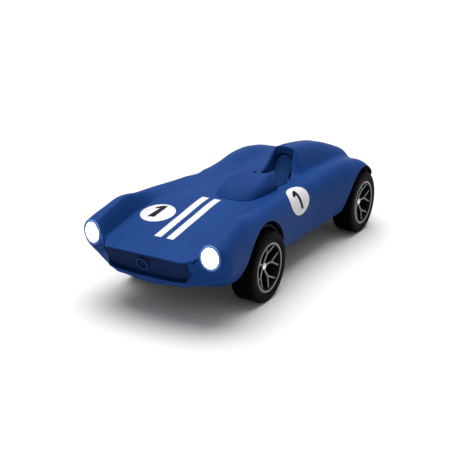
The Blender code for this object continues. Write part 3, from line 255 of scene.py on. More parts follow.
def lamp_glass(name, strength):
    """A frosted lit lens: fine ribs and a cool glow."""
    made, tree, shader = node_tree(name)
    frost = pattern(tree, "Noise", 700.0, Detail=3.0)
    ramp(tree, frost, shader, (0.86, 0.90, 0.98), (0.97, 0.98, 1.0))
    ramp(tree, frost, shader, (0.80, 0.89, 1.0), (0.93, 0.97, 1.0), socket="Emission Color")
    put(shader, {"Emission Strength": strength, "Roughness": 0.2})
    ribs = pattern(tree, "Wave", 420.0, Distortion=0.0)
    bump(tree, shader, ribs, 0.25, 0.06)
    return made


def printed(name, colour, worn):
    """A printed sticker: even ink with a faint mottle and a satin film over it."""
    made, tree, shader = node_tree(name)
    mottle = pattern(tree, "Noise", 260.0, Detail=4.0)
    ramp(tree, mottle, shader, worn, colour)
    spread(tree, mottle, shader, 0.36, 0.5)
    put(shader, {"IOR": PLASTIC_IOR})
    bump(tree, shader, mottle, 0.2, 0.01)
    return made


def circuit(name):
    """Green lacquer over copper tracks."""
    made, tree, shader = node_tree(name)
    tracks = pattern(tree, "Brick", 260.0)
    put(tracks, {"Color1": (0.012, 0.11, 0.035, 1.0), "Color2": (0.016, 0.15, 0.05, 1.0),
                 "Mortar": (0.05, 0.26, 0.09, 1.0)})
    tree.links.new(tracks.outputs["Color"], shader.inputs["Base Color"])
    grain = pattern(tree, "Noise", 900.0)
    spread(tree, grain, shader, 0.25, 0.42)
    bump(tree, shader, tracks, 0.3, 0.03)
    return made


MATERIALS = {
    "body_blue": moulded("satin_blue", (0.0070, 0.034, 0.145), (0.0086, 0.041, 0.166), 0.46, 1100.0, 0.012, 0.45),
    "tub_blue": moulded("cockpit_blue", (0.008, 0.030, 0.115), (0.010, 0.038, 0.14), 0.55, 900.0, 0.03, 0.3),
    "grille_blue": moulded("grille_blue", (0.0045, 0.013, 0.052), (0.006, 0.017, 0.066), 0.55, 800.0, 0.03, 0.3),
    "chassis_black": moulded("floor_black", (0.008, 0.008, 0.009), (0.014, 0.014, 0.015), 0.55, 700.0, 0.05, 0.25),
    "rim_black": moulded("rim_black", (0.004, 0.004, 0.0045), (0.008, 0.008, 0.009), 0.32, 700.0, 0.02, 0.15),
    "gear_white": moulded("acetal_white", (0.70, 0.69, 0.64), (0.80, 0.79, 0.74), 0.45, 900.0, 0.02, 0.1),
    "motor_grey": moulded("casing_grey", (0.24, 0.25, 0.27), (0.31, 0.32, 0.34), 0.5, 700.0, 0.05, 0.25),
    "lead_red": moulded("lead_red", (0.42, 0.014, 0.014), (0.55, 0.02, 0.02), 0.45, 500.0, 0.03),
    "tyre_black": rubber("tyre_rubber"),
    "chrome": metal("polished_chrome", (0.62, 0.63, 0.65), (0.82, 0.82, 0.83), 0.12),
    "steel": metal("turned_steel", (0.36, 0.36, 0.37), (0.55, 0.55, 0.56), 0.3, (6.0, 1.0, 1.0)),
    "brass": metal("cut_brass", (0.50, 0.35, 0.13), (0.68, 0.50, 0.22), 0.3, (6.0, 1.0, 1.0)),
    "lens_white": lamp_glass("lit_lens", 6.0),
    "board_green": circuit("circuit_board"),
    "seat_blue": moulded("seat_blue", (0.0085, 0.036, 0.125), (0.0105, 0.042, 0.145), 0.5, 800.0, 0.03, 0.3),
}
SILVER = metal("rim_silver", (0.12, 0.12, 0.125), (0.20, 0.20, 0.205), 0.3, (1.0, 5.0, 1.0), 0.4)
# Light blue of the lamp bezels: painted glow, standing in for the lit lamps' halo on the body round them
BEZEL_PAINTED_GLOW = moulded("bezel_painted_glow", (0.10, 0.18, 0.42), (0.13, 0.22, 0.50), 0.4, 900.0, 0.02, 0.1)
DECAL_WHITE = printed("decal_white", (0.56, 0.56, 0.57), (0.53, 0.53, 0.54))
DECAL_BLACK = printed("decal_black", (0.008, 0.008, 0.010), (0.013, 0.013, 0.015))


# ---- body surface

def ease(t):
    """0 to 1 with level ends."""
    t = min(max(t, 0.0), 1.0)
    return t * t * (3.0 - 2.0 * t)


def along(line, y):
    """The value of a key line at y, by a cubic that never overshoots its points."""
    y = min(max(y, line[0][0]), line[-1][0])
    steps = [(b[1] - a[1]) / (b[0] - a[0]) for a, b in zip(line, line[1:])]
    slopes = [steps[0]]
    for before, after in zip(steps, steps[1:]):
        slopes.append(2 * before * after / (before + after) if before * after > 0 else 0.0)
    slopes.append(steps[-1])
    k = next(i for i, point in enumerate(line[1:]) if y <= point[0])
    (y0, v0), (y1, v1) = line[k], line[k + 1]
    span = y1 - y0
    t = (y - y0) / span
    return (v0 * (1 + 2 * t) * (1 - t) ** 2 + span * slopes[k] * t * (1 - t) ** 2
            + v1 * t * t * (3 - 2 * t) + span * slopes[k + 1] * t * t * (t - 1))


def hump(x, y):
    """Height of the head fairing above the deck."""
    u = abs(x - HUMP_X) / HUMP_HALF_WIDTH
    return along(HUMP_H, y) * (0.5 + 0.5 * math.cos(math.pi * u ** HUMP_POWER)) if u < 1 else 0.0


def flank(t, y):
    """How a wing rises from its foot, 0, to its crest, 1: with a firmer crease at its foot towards the nose."""
    t = min(max(t, 0.0), 1.0)
    firm = 1.0 - (1.0 - t) ** CREASE_POWER
    share = CREASE_SHARE * ease((CREASE_START_Y - y) / CREASE_LENGTH)
    return firm * share + ease(t) * (1.0 - share)


def deck_z(x, y):
    """Height of the body's upper surface between the crests of the wings, without the fairing."""
    crest_x, valley = along(CREST_X, y), along(VALLEY_X, y)
    deck, crest = along(DECK_Z, y), along(CREST_Z, y)
    return deck + (crest - deck) * flank((abs(x) - valley) / (crest_x - valley), y)


def top_z(x, y):
    """Height of the upper surface with the fairing, before the tail shrinks."""
    return deck_z(x, y) + hump(x, y)


def section(y, steps=FINE, hump_share=1.0):
    """The body's outline at y as (x, z), from the deck's middle down the left side and up the right side."""
    deck_steps, side_steps, tuck_steps, belly_steps = steps
    crest_x, crest_z = along(CREST_X, y), along(CREST_Z, y)
    side_x, side_z = along(SIDE_X, y), along(SIDE_Z, y)
    sill_x, sill_z = along(SILL_X, y), along(SILL_Z, y)
    belly_z = along(BELLY_Z, y)
    foot = along(VALLEY_X, y) - FLANK_MARGIN
    middle = deck_steps * 0.5
    across = [foot * min(i / middle, 1.0) + (crest_x - foot) * max(i / middle - 1.0, 0.0) for i in range(deck_steps)]
    half = [(x, deck_z(x, y)) for x in across]
    power = 2 / SIDE_POWER
    for i in range(side_steps):
        angle = 0.5 * math.pi * i / side_steps
        half.append((crest_x + (side_x - crest_x) * math.sin(angle) ** power,
                     side_z + (crest_z - side_z) * math.cos(angle) ** power))
    for i in range(tuck_steps):
        t = i / tuck_steps
        half.append((side_x - (side_x - sill_x) * t * t, side_z - (side_z - sill_z) * t))
    for i in range(belly_steps + 1):
        t = i / belly_steps
        half.append((sill_x * (1 - t), sill_z + (belly_z - sill_z) * ease(t)))
    ring = half + [(-x, z) for x, z in reversed(half[1:-1])]
    for i in list(range(deck_steps)) + list(range(1 - deck_steps, 0)):
        x, z = ring[i]
        ring[i] = (x, z + hump(x, y) * hump_share)
    scale = tail_scale(y)
    return [(x * scale, TAIL_CENTRE_Z + (z - TAIL_CENTRE_Z) * scale) for x, z in ring]


def tail_scale(y):
    """How far the section has shrunk towards the tail's middle, 1 before the tail begins."""
    if y <= TAIL_START_Y:
        return 1.0
    t = (y - TAIL_START_Y) / (TAIL_END_Y - TAIL_START_Y)
    return max(1 - t ** TAIL_POWER, 0.0) ** (1 / TAIL_POWER)


def section_top(x, y):
    """Height of the upper surface at any station, the shrunken tail included."""
    scale = tail_scale(y)
    return TAIL_CENTRE_Z + (top_z(x / scale, y) - TAIL_CENTRE_Z) * scale


def lamp_share(x):
    """0 across the grille and 1 across the lamps."""
    return ease((abs(x) - LAMP_SHARE_X) / LAMP_SHARE_WIDTH)


def face_y(x, z):
    """Where the nose's front face lies: it leans, and steps back to the lamps."""
    return FACE_Y + FACE_LEAN * (FACE_TOP_Z - z) + LAMP_SETBACK * lamp_share(x)


def offset_inwards(ring, distance):
    """A closed ring of (x, z) points moved in along its own normals."""
    result = []
    for i, (x, z) in enumerate(ring):
        before, after = ring[i - 1], ring[(i + 1) % len(ring)]
        step = Vector((after[0] - before[0], after[1] - before[1])).normalized()
        result.append((x + step.y * distance, z - step.x * distance))
    return result


# ---- meshes

def full_turn(steps):
    return [2 * math.pi * i / steps for i in range(steps)]


def smoothed(mesh, sharp_angle=SHARP_ANGLE):
    """Smooth shading, with the edges beyond an angle in degrees left sharp."""
    mesh.shade_smooth()
    mesh.set_sharp_from_angle(angle=math.radians(sharp_angle))
    return mesh


def mesh_of(name, bm, smooth_angle=SHARP_ANGLE):
    """Closes the bmesh, given in millimetres, into a mesh in metres with its faces pointing out."""
    bmesh.ops.recalc_face_normals(bm, faces=bm.faces)
    if bm.calc_volume(signed=True) < 0:
        bmesh.ops.reverse_faces(bm, faces=bm.faces)
    bmesh.ops.scale(bm, vec=(MM, MM, MM), verts=bm.verts)
    mesh = bpy.data.meshes.new(name)
    bm.to_mesh(mesh)
    bm.free()
    return smoothed(mesh, smooth_angle)


def joined(name, parts):
    """One mesh from [(mesh, material index or None)], each keeping its own shape."""
    bm = bmesh.new()
    for mesh, index in parts:
        before = len(bm.faces)
        bm.from_mesh(mesh)
        bm.faces.ensure_lookup_table()
        if index is not None:
            for face in bm.faces[before:]:
                face.material_index = index
    made = bpy.data.meshes.new(name)
    bm.to_mesh(made)
    bm.free()
    return made


def add_object(name, data, *materials):
    obj = bpy.data.objects.new(name, data)
    bpy.context.scene.collection.objects.link(obj)
    for made in materials:
        data.materials.append(made)
    return obj


def quads(bm, first, second):
    """The faces that join two equal closed rings of vertices, in order."""
    count = len(first)
    return [bm.faces.new((first[i], first[(i + 1) % count], second[(i + 1) % count], second[i])) for i in range(count)]


def place(obj, node, body="body"):
    """obj stands for a CAD node: it hangs under the named body's empty and the node is hidden."""
    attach(obj, body)
    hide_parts(node)


def node_centre(name):
    """The middle of a CAD node, in metres."""
    low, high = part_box(name)
    return (low + high) / 2


def bridged(name, rings, smooth_angle=SHARP_ANGLE):
    """A solid whose skin joins equal rings of points in order, with flat ends."""
    bm = bmesh.new()
    loops = [[bm.verts.new(point) for point in ring] for ring in rings]
    for first, second in zip(loops, loops[1:]):
        quads(bm, first, second)
    bm.faces.new(loops[0])
    bm.faces.new(loops[-1])
    return mesh_of(name, bm, smooth_angle)


def turned(name, profile, sides=64, squash=1.0, smooth_angle=SHARP_ANGLE):
    """A profile of (x, radius) points turned about the X axis. A radius of 0 makes a point on the axis."""
    bm = bmesh.new()
    rings = []
    for along_x, radius in profile:
        if radius == 0:
            rings.append([bm.verts.new((along_x, 0, 0))])
            continue
        rings.append([bm.verts.new((along_x, radius * math.cos(a), radius * squash * math.sin(a)))
                      for a in full_turn(sides)])
    pairs = list(zip(rings, rings[1:]))
    if all(len(ring) > 1 for ring in rings):
        pairs.append((rings[-1], rings[0]))
    for first, second in pairs:
        for i in range(sides):
            j = (i + 1) % sides
            corners = [first[i % len(first)], first[j % len(first)], second[j % len(second)],
                       second[i % len(second)]]
            bm.faces.new(dict.fromkeys(corners))
    return mesh_of(name, bm, smooth_angle)


def rod(name, x_low, x_high, radius, sides):
    """A round bar along X."""
    return turned(name, ((x_low, 0), (x_low, radius), (x_high, radius), (x_high, 0)), sides)


def upright(name, z_low, z_high, radius):
    """A round bar along Z."""
    mesh = rod(name, z_low, z_high, radius, 24)
    mesh.transform(Matrix.Rotation(-math.pi / 2, 4, "Y"))
    return mesh


def moved(mesh, where):
    mesh.transform(Matrix.Translation(Vector(where) * MM))
    return mesh


def mirrored(mesh, side):
    """The mesh as it is for side 1, and turned over the middle plane for side -1."""
    if side < 0:
        mesh.transform(Matrix.Diagonal((-1, 1, 1, 1)))
        mesh.flip_normals()
    return mesh


def prism(name, outline, low, high, axis="Z"):
    """An outline pulled from low to high along Y or Z. Outline points are the other two coordinates in order."""
    return bridged(name, [[(a, end, b) if axis == "Y" else (a, b, end) for a, b in outline] for end in (low, high)])


def carved(mesh, steps):
    """The mesh after a row of (operation, [meshes]) Booleans, one tool at a time."""
    target = add_object("carving", mesh)
    tools = []
    for operation, meshes in steps:
        for shape in meshes:
            tool = add_object("carving_tool", shape)
            tools.append(tool)
            boolean = target.modifiers.new(operation, "BOOLEAN")
            boolean.operation = operation
            boolean.solver = "EXACT"
            boolean.object = tool
    graph = bpy.context.evaluated_depsgraph_get()
    made = bpy.data.meshes.new_from_object(target.evaluated_get(graph))
    for obj in [target, *tools]:
        bpy.data.objects.remove(obj)
    return made


# ---- body

SECTIONS = {}


def section_at(i, y):
    """Point i of the section at y, with sections kept by station to a hundredth of a millimetre."""
    key = round(y, 2)
    if key not in SECTIONS:
        SECTIONS[key] = section(key)
    return SECTIONS[key][i]


def nose_rings(start_y):
    """From a station to the closed front face, each point running forward to its own edge."""
    outline = section(NOSE_SECTION_Y)
    roundness = [LIP_ROUNDING + LAMP_ROUNDING * lamp_share(x) for x, _ in outline]
    edge = [face_y(x, z) + r for (x, z), r in zip(outline, roundness)]
    rings = []
    for k in range(1, NOSE_STEPS + 1):
        ys = [start_y + (end - start_y) * k / NOSE_STEPS for end in edge]
        points = [(*section_at(i, y), y) for i, y in enumerate(ys)]
        rings.append([(x, y, z) for x, z, y in points])
    lip = [Vector((x, z)) for x, _, z in rings[-1]]
    cores = [Vector((CORE_SHARE_X * p.x, CORE_Z + CORE_SHARE_Z * (p.y - CORE_Z))) for p in lip]
    inward = [(core - p).normalized() for p, core in zip(lip, cores)]
    for k in range(1, LIP_STEPS + 1):
        angle = 0.5 * math.pi * k / LIP_STEPS
        share, recede = 1 - math.cos(angle), math.sin(angle)
        points = [p + way * share * r for p, way, r in zip(lip, inward, roundness)]
        rings.append([(p.x, end - recede * r, p.y) for p, end, r in zip(points, edge, roundness)])
    rim = [Vector((x, z)) for x, _, z in rings[-1]]
    for k in range(1, FACE_STEPS + 1):
        points = [p.lerp(core, k / FACE_STEPS) for p, core in zip(rim, cores)]
        rings.append([(p.x, face_y(p.x, p.y), p.y) for p in points])
    return rings


def body_rings():
    """The body's outer skin, from the tail to the middle of the nose."""
    stations = list(TAIL_STATIONS)
    y = SKIN_REAR_Y
    while y > SKIN_FRONT_Y:
        stations.append(y)
        y -= SKIN_STEP
    rings = [[(x, y, z) for x, z in section(y)] for y in stations]
    return rings + nose_rings(stations[-1])


def cavity_rings():
    """The inside of the shell, open below. It is flat-topped ahead of SOLID_WINGS_Y, where it would fold otherwise."""
    rings = []
    top_steps, skirt = CAVITY_STEPS[0], sum(CAVITY_STEPS[:3])
    for y in CAVITY_STATIONS:
        outer = section(y, CAVITY_STEPS, ease((y - HUMP_HOLLOW_Y) / HUMP_HOLLOW_LENGTH))
        inner = offset_inwards(outer, WALL + ease((y - THICK_TAIL_Y) / THICK_TAIL_LENGTH))
        if y < SOLID_WINGS_Y:
            roof = deck_z(0.0, y) - WALL
            on_top = [i < top_steps or i > len(outer) - top_steps for i in range(len(outer))]
            inner = [(a[0] if top else b[0], roof if top else min(b[1], roof))
                     for a, b, top in zip(outer, inner, on_top)]
        sill_x, sill_z = outer[skirt]
        low = [(sill_x - WALL, sill_z - SKIRT_DROP), (sill_x - WALL, SKIRT_FOOT_Z)]
        ring = inner[:skirt] + low + [(-x, z) for x, z in reversed(low)] + inner[1 - skirt:]
        rings.append([(x, y, z) for x, z in ring])
    return rings


def cockpit_half_width(y):
    front, turn = COCKPIT_FRONT_Y, COCKPIT_TURN_Y
    if y < turn:
        return COCKPIT_HALF_WIDTH * math.sqrt(max(1 - ((turn - y) / (turn - front)) ** 2, 0.0))
    narrowed = ease((y - COCKPIT_TAPER_Y) / (COCKPIT_REAR_Y - COCKPIT_TAPER_Y))
    return COCKPIT_HALF_WIDTH + (HOOP_HALF_WIDTH - COCKPIT_HALF_WIDTH) * narrowed


def cockpit_outline():
    """Plan of the cockpit opening, from its front middle round one side to its rear and back on the other."""
    front, turn, rear = COCKPIT_FRONT_Y, COCKPIT_TURN_Y, COCKPIT_REAR_Y
    ys = [turn - (turn - front) * math.cos(math.radians(5 * i)) for i in range(1, 18)]
    ys += [turn + (rear - turn) * i / 28 for i in range(29)]
    side = [(cockpit_half_width(y), y) for y in ys]
    outline = [(0.0, front)] + side + [(-x, y) for x, y in reversed(side)]
    return [(COCKPIT_X + x, y) for x, y in outline]


def hoop_outline():
    """The opening under the fairing's hoop as (x, z): straight sides and a round top."""
    half, centre_z = HOOP_HALF_WIDTH, HOOP_TOP_Z - HOOP_HALF_WIDTH
    top = [(HUMP_X + half * math.cos(a), centre_z + half * math.sin(a))
           for a in (math.radians(180 * i / 28) for i in range(29))]
    return [(HUMP_X - half, HOOP_FLOOR_Z), (HUMP_X + half, HOOP_FLOOR_Z)] + top


def rounded_through(points, steps=6):
    """A closed smooth curve through points, by Catmull-Rom."""
    count = len(points)
    curve = []
    for i in range(count):
        a, b, c, d = (Vector(points[(i + k) % count]) for k in (-1, 0, 1, 2))
        for k in range(steps):
            t = k / steps
            p = 0.5 * (2 * b + (c - a) * t + (2 * a - 5 * b + 4 * c - d) * t ** 2
                       + (3 * b - a - 3 * c + d) * t ** 3)
            curve.append((p.x, p.y))
    return curve


def mouth_outline(inset=0.0):
    """The grille's opening as (x, z): wide at the top, with round corners and an arched upper lip."""
    top_half, bottom_half = MOUTH_TOP_HALF - inset, MOUTH_BOTTOM_HALF - inset
    top, bottom = MOUTH_TOP_Z - inset, MOUTH_BOTTOM_Z + inset
    right = [(bottom_half * 0.5, bottom + 0.3), (bottom_half - 1.5, bottom + 1.2), (bottom_half + 0.6, bottom + 2.8),
             (top_half, top - 2.9), (top_half - 0.4, top - 1.0), (top_half - 2.2, top - 0.3),
             (top_half * 0.5, top)]
    outline = [(0.0, bottom)] + right + [(0.0, top)] + [(-x, z) for x, z in reversed(right)]
    return [(MOUTH_X + x, z) for x, z in rounded_through(outline)]


def sloped_prism(name, outline, depths):
    """An outline of (x, z) points pulled through depths behind the nose's leaning face."""
    return bridged(name, [[(x, FACE_Y + FACE_LEAN * (FACE_TOP_Z - z) + depth, z) for x, z in outline]
                          for depth in depths])


def lamp_mesh(name, profile, side):
    """A profile of (depth behind the lamp's face, radius) turned about Y, made oval and turned a little outwards."""
    mesh = turned(name, profile, squash=LAMP_HALF_HEIGHT / LAMP_HALF_WIDTH)
    mesh.transform(Matrix.Rotation(math.pi / 2 + side * LAMP_CANT, 4, "Z"))
    return moved(mesh, (side * LAMP_X, LAMP_FACE_Y, LAMP_Z))


def make_body():
    """The shell: outer skin less cavity, with screw bosses, and with its arches, pockets and openings cut."""
    front, rear = node_centre("front_axle"), node_centre("rear_axle")
    axle_z = front.z / MM
    arches = ((front.y / MM - FRONT_ARCH_LEAD, FRONT_ARCH_RADIUS), (rear.y / MM, REAR_ARCH_RADIUS))
    bosses, cutters = [], []
    for x, y in SCREW_PLACES:
        bosses.append(moved(upright("boss", BOSS_FOOT_Z, section_top(x, y + BOSS_RADIUS) - BOSS_SINK, BOSS_RADIUS),
                            (x, y, 0)))
        cutters.append(moved(upright("bore", BOSS_FOOT_Z - 2.0, SCREW_BORE_TOP_Z, SCREW_BORE_RADIUS), (x, y, 0)))
    for side in (-1, 1):
        for y, radius in arches:
            arch = rod("arch", ARCH_INNER_X, ARCH_OUTER_X, radius, 128)
            cutters.append(moved(mirrored(arch, side), (0, y, axle_z)))
        pocket = ((POCKET_START, 0), (POCKET_START, LAMP_HALF_WIDTH), (POCKET_STEP, LAMP_HALF_WIDTH),
                  (POCKET_THROAT_DEPTH, POCKET_THROAT), (LAMP_DEPTH, POCKET_FOOT), (LAMP_DEPTH, 0))
        cutters.append(lamp_mesh("pocket", pocket, side))
    cutters.append(prism("cockpit_cutter", cockpit_outline(), *COCKPIT_CUT_Z))
    cutters.append(prism("hoop_cutter", hoop_outline(), COCKPIT_REAR_Y - CUTTER_REACH, COCKPIT_REAR_Y + HOOP_DEPTH,
                         "Y"))
    cutters.append(sloped_prism("mouth_cutter", mouth_outline(), (-CUTTER_REACH, MOUTH_DEPTH)))
    mesh = smoothed(carved(bridged("moulded_body", body_rings()),
                           [("DIFFERENCE", [bridged("cavity", cavity_rings())]), ("UNION", bosses),
                            ("DIFFERENCE", cutters)]))
    # The shell's cut walls inside the wheel arches take the black floor plastic: painted shade in the arches
    for face in mesh.polygons:
        centre = face.center / MM
        arch_y, radius = arches[int(centre.y > 0)]
        inside = math.hypot(centre.y - arch_y, centre.z - axle_z) < radius + 0.05
        face.material_index = int(inside and abs(centre.x) > ARCH_INNER_X)
    body = add_object("moulded_body", mesh, MATERIALS["body_blue"], MATERIALS["chassis_black"])
    place(body, "body_shell")


def screen_path():
    """Plan of the screen from its far end to its near end, as shares across, forward and back with its fall."""
    straight_steps, turn_steps = 16, 60
    path = []
    for i in range(straight_steps, 0, -1):
        back = i / straight_steps
        path.append((-1.0, 0.0, back, 1 - (1 - SCREEN_FAR_FALL) * (1 - back) ** 2))
    for i in range(turn_steps + 1):
        angle = math.pi * (i / turn_steps - 0.5)
        across = math.copysign(abs(math.sin(angle)) ** SCREEN_SQUARENESS, angle)
        forward = max(math.cos(angle), 0.0) ** SCREEN_SQUARENESS
        path.append((across, forward, 0.0, SCREEN_FAR_FALL * across ** 2 if across < 0 else 0.0))
    path += [(1.0, 0.0, 0.5, 0.0), (1.0, 0.0, 1.0, 0.0)]
    return path


def make_windscreen():
    """A raked screen that wraps round the front of the cockpit and runs back, falling, on its far side."""
    rings = []
    heights = [i / SCREEN_ROWS for i in range(SCREEN_ROWS + 1)]
    for across, forward, back, fall in screen_path():
        end_y = SCREEN_NEAR_END_Y if across > 0 else SCREEN_FAR_END_Y
        foot_x = SCREEN_X + SCREEN_HALF_WIDTH * across
        foot_y = SCREEN_TURN_Y + (SCREEN_FRONT_Y - SCREEN_TURN_Y) * forward + (end_y - SCREEN_TURN_Y) * back
        top = SCREEN_TOP_Z + (SCREEN_FAR_END_Z - SCREEN_TOP_Z) * fall
        foot_z = max(top_z(foot_x, foot_y), top_z(foot_x - SCREEN_THICKNESS * across, foot_y))
        foot_z += SCREEN_CLEARANCE
        outer, inner = [], []
        for t in heights:
            bow = math.sin(math.pi * t)
            x = foot_x + (SCREEN_SIDE_BOW * bow - SCREEN_SIDE_LEAN * t) * across
            y = foot_y + (SCREEN_RAKE * t - SCREEN_BOW * bow) * forward
            z = foot_z + (top - foot_z) * t
            lip = 0.0
            if t == 1.0:
                lip = SCREEN_THICKNESS * SCREEN_LIP_SHARE
                z -= SCREEN_LIP_DROP
            outer.append((x - lip * across, y + lip * forward, z))
            back_by = SCREEN_THICKNESS - lip
            inner.append((x - back_by * across, y + back_by * forward, z))
        rings.append(outer + inner[::-1])
    screen = add_object("moulded_screen", bridged("moulded_screen", rings, smooth_angle=50.0),
                        MATERIALS["body_blue"])
    place(screen, "windscreen")


def make_seat():
    """The driver's seat: a dished squab, and a back that rises to fill the opening under the hoop."""
    foot_z = (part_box("driver_seat")[0] / MM).z
    across = [i / 12 - 1 for i in range(25)]

    rings = []
    for k in range(17):
        t = k / 16
        y = SEAT_FRONT_Y + (SEAT_REAR_Y - SEAT_FRONT_Y) * t
        nose = min(t, SQUAB_NOSE_LENGTH)
        rounding = min(1.0, SQUAB_NOSE + 0.6 * math.sqrt(nose * (2 * SQUAB_NOSE_LENGTH - nose)))
        upper = [(s * SEAT_HALF_WIDTH * rounding, y,
                  foot_z + SQUAB_HEIGHT + SQUAB_WINGS * s * s - SQUAB_SAG * math.sin(math.pi * t)) for s in across]
        lower = [(x * SQUAB_FOOT_SHARE, y, foot_z) for x, _, _ in upper[::-1]]
        rings.append([(COCKPIT_X + x, y, z) for x, y, z in upper + lower])
    parts = [(bridged("squab", rings), 0)]

    rings = []
    for k in range(25):
        t = k / 24
        middle = HUMP_X + (COCKPIT_X - HUMP_X) * (1 - t)
        y = SEAT_REAR_Y - BACK_LAP + (SEAT_TOP_Y - SEAT_REAR_Y) * ease(t) ** 0.9
        z = foot_z + BACK_LIFT + (SEAT_TOP_Z - foot_z - BACK_LIFT) * t
        half = BACK_FOOT_HALF + (BACK_HALF - BACK_FOOT_HALF) * ease(t * 1.6)
        half *= math.sqrt(max(1 - max((t - BACK_ROUND_START) / BACK_ROUND_SHARE, 0.0) ** 2, 0.02))
        front = [(middle + half * s, y - BACK_DISH * (1 - s * s) - BACK_SET, z) for s in across]
        rear = [(middle + half * s, y + BACK_DEPTH - BACK_CROWN * abs(s) ** 4, z) for s in across[::-1]]
        rings.append(front + rear)
    parts.append((bridged("back", rings), 0))
    seat = add_object("moulded_seat", joined("moulded_seat", parts), MATERIALS["seat_blue"])
    place(seat, "driver_seat")


# ---- decals

STRIPES = ((-5.3, -1.5), (1.5, 5.3))
STRIPE_FRONT_Y, STRIPE_REAR_Y = -81.0, -38.2
ROUNDEL_X, ROUNDEL_Y, ROUNDEL_RADIUS = -16.4, -61.4, 8.7
DOOR_Y, DOOR_REACH, DOOR_RADIUS_Y, DOOR_RADIUS_REACH = -7.6, 8.6, 10.6, 8.2
DOOR_SHEAR = 0.2
NUMBER_LIFT = 0.12
# The stem and flag of each number, as corners for strip_grid and the steps across
BONNET_STEM = ((((-2.9, -4.8), (0.6, -4.2)), ((-1.3, 7.0), (0.9, 7.4))), 6)
BONNET_FLAG = ((((-4.3, 4.4), (-3.6, 3.4)), ((-1.4, 7.1), (-1.5, 4.6))), 4)
DOOR_STEM = ((((-1.2, -5.4), (1.0, -5.4)), ((-0.6, 5.4), (1.6, 5.4))), 4)
DOOR_FLAG = ((((-4.4, -3.6), (-3.6, -2.4)), ((-1.1, -5.4), (-0.8, -3.2))), 4)


def sticker(name, grid, ink, wrap=False):
    """A thin solid over a grid of surface points with their outward normals, rim and underside included."""
    bm = bmesh.new()
    rows = []
    for row in grid:
        rows.append([(bm.verts.new(point + normal * STICKER_LIFT),
                      bm.verts.new(point + normal * (STICKER_LIFT - STICKER_THICKNESS))) for point, normal in row])
    count = len(rows[0])
    columns = range(count if wrap else count - 1)
    for above, below in zip(rows, rows[1:]):
        for i in columns:
            j = (i + 1) % count
            bm.faces.new((above[i][0], above[j][0], below[j][0], below[i][0]))
            bm.faces.new((above[i][1], below[i][1], below[j][1], above[j][1]))
    for edge in (rows[0], rows[-1]):
        for i in columns:
            j = (i + 1) % count
            bm.faces.new((edge[i][0], edge[i][1], edge[j][1], edge[j][0]))
    if not wrap:
        for above, below in zip(rows, rows[1:]):
            for i in (0, -1):
                bm.faces.new((above[i][0], below[i][0], below[i][1], above[i][1]))
    made = add_object(name, mesh_of(name, bm, 60.0), ink)
    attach(made, "body")
    return made


def on_deck(x, y):
    """A point of the upper surface with its normal."""
    step = 0.1
    slope_x = (top_z(x + step, y) - top_z(x - step, y)) / (2 * step)
    slope_y = (top_z(x, y + step) - top_z(x, y - step)) / (2 * step)
    return Vector((x, y, top_z(x, y))), Vector((-slope_x, -slope_y, 1.0)).normalized()


def side_point(y, reach):
    """The point of the left side at y that lies so far along the section from the wing's crest."""
    ring = section(y)[:sum(FINE[:3])]
    crest = FINE[0]
    step = 1 if reach >= 0 else -1
    left, i = abs(reach), crest
    while True:
        a, b = Vector(ring[i]), Vector(ring[i + step])
        length = (b - a).length
        if length >= left:
            point = a + (b - a) * (left / length)
            return Vector((point.x, y, point.y))
        left -= length
        i += step


def on_side(y, reach, side):
    """A point of a side with its normal, side 1 for the left and -1 for the right."""
    step = 0.15
    across = side_point(y, reach + step) - side_point(y, reach - step)
    down = side_point(y + step, reach) - side_point(y - step, reach)
    normal = down.cross(across).normalized()
    point = side_point(y, reach)
    if normal.x < 0 and normal.z < 0:
        normal = -normal
    return Vector((point.x * side, point.y, point.z)), Vector((normal.x * side, normal.y, normal.z))


def disc_grid(surface, radius_u, radius_v, rings=16, sides=72):
    """A round grid: rings of surface points about a centre, the innermost almost closed."""
    grid = []
    for k in range(rings + 1):
        share = max(k / rings, 0.004)
        grid.append([surface(radius_u * share * math.cos(a), radius_v * share * math.sin(a))
                     for a in full_turn(sides)])
    return grid


def strip_grid(surface, corners, steps_along, steps_across):
    """A grid between four corners (u, v): start left and right, then end left and right."""
    (a, b), (c, d) = corners
    grid = []
    for k in range(steps_along + 1):
        t = k / steps_along
        left = Vector(a).lerp(Vector(c), t)
        right = Vector(b).lerp(Vector(d), t)
        row = [left.lerp(right, i / steps_across) for i in range(steps_across + 1)]
        grid.append([surface(p.x, p.y) for p in row])
    return grid


def number(surface, name, stem, flag):
    """The digit 1 in black, just over a roundel: name takes its part's word."""
    def raised(u, v):
        point, normal = surface(u, v)
        return point + normal * NUMBER_LIFT, normal

    for word, (corners, steps_across), steps_along in (("stem", stem, 20), ("flag", flag, 8)):
        sticker(name.format(word), strip_grid(raised, corners, steps_along, steps_across), DECAL_BLACK)


def make_decals():
    for (left, right), word in zip(STRIPES, ("right", "left")):
        corners = (((left, STRIPE_FRONT_Y), (right, STRIPE_FRONT_Y)), ((left, STRIPE_REAR_Y), (right, STRIPE_REAR_Y)))
        sticker(f"stripe_{word}", strip_grid(on_deck, corners, 60, 6), DECAL_WHITE)

    def bonnet(u, v):
        return on_deck(ROUNDEL_X + u, ROUNDEL_Y + v)

    sticker("bonnet_roundel", disc_grid(bonnet, ROUNDEL_RADIUS, ROUNDEL_RADIUS), DECAL_WHITE, wrap=True)
    number(bonnet, "bonnet_number_{}", BONNET_STEM, BONNET_FLAG)

    for side, word in ((1, "left"), (-1, "right")):
        def door(u, v):
            return on_side(DOOR_Y + u + DOOR_SHEAR * v, DOOR_REACH + v, side)

        def lettered(u, v):
            return door(side * u, v)

        sticker(f"door_roundel_{word}", disc_grid(door, DOOR_RADIUS_Y, DOOR_RADIUS_REACH), DECAL_WHITE, wrap=True)
        number(lettered, "door_number_{}_" + word, DOOR_STEM, DOOR_FLAG)


# ---- nose and lamps

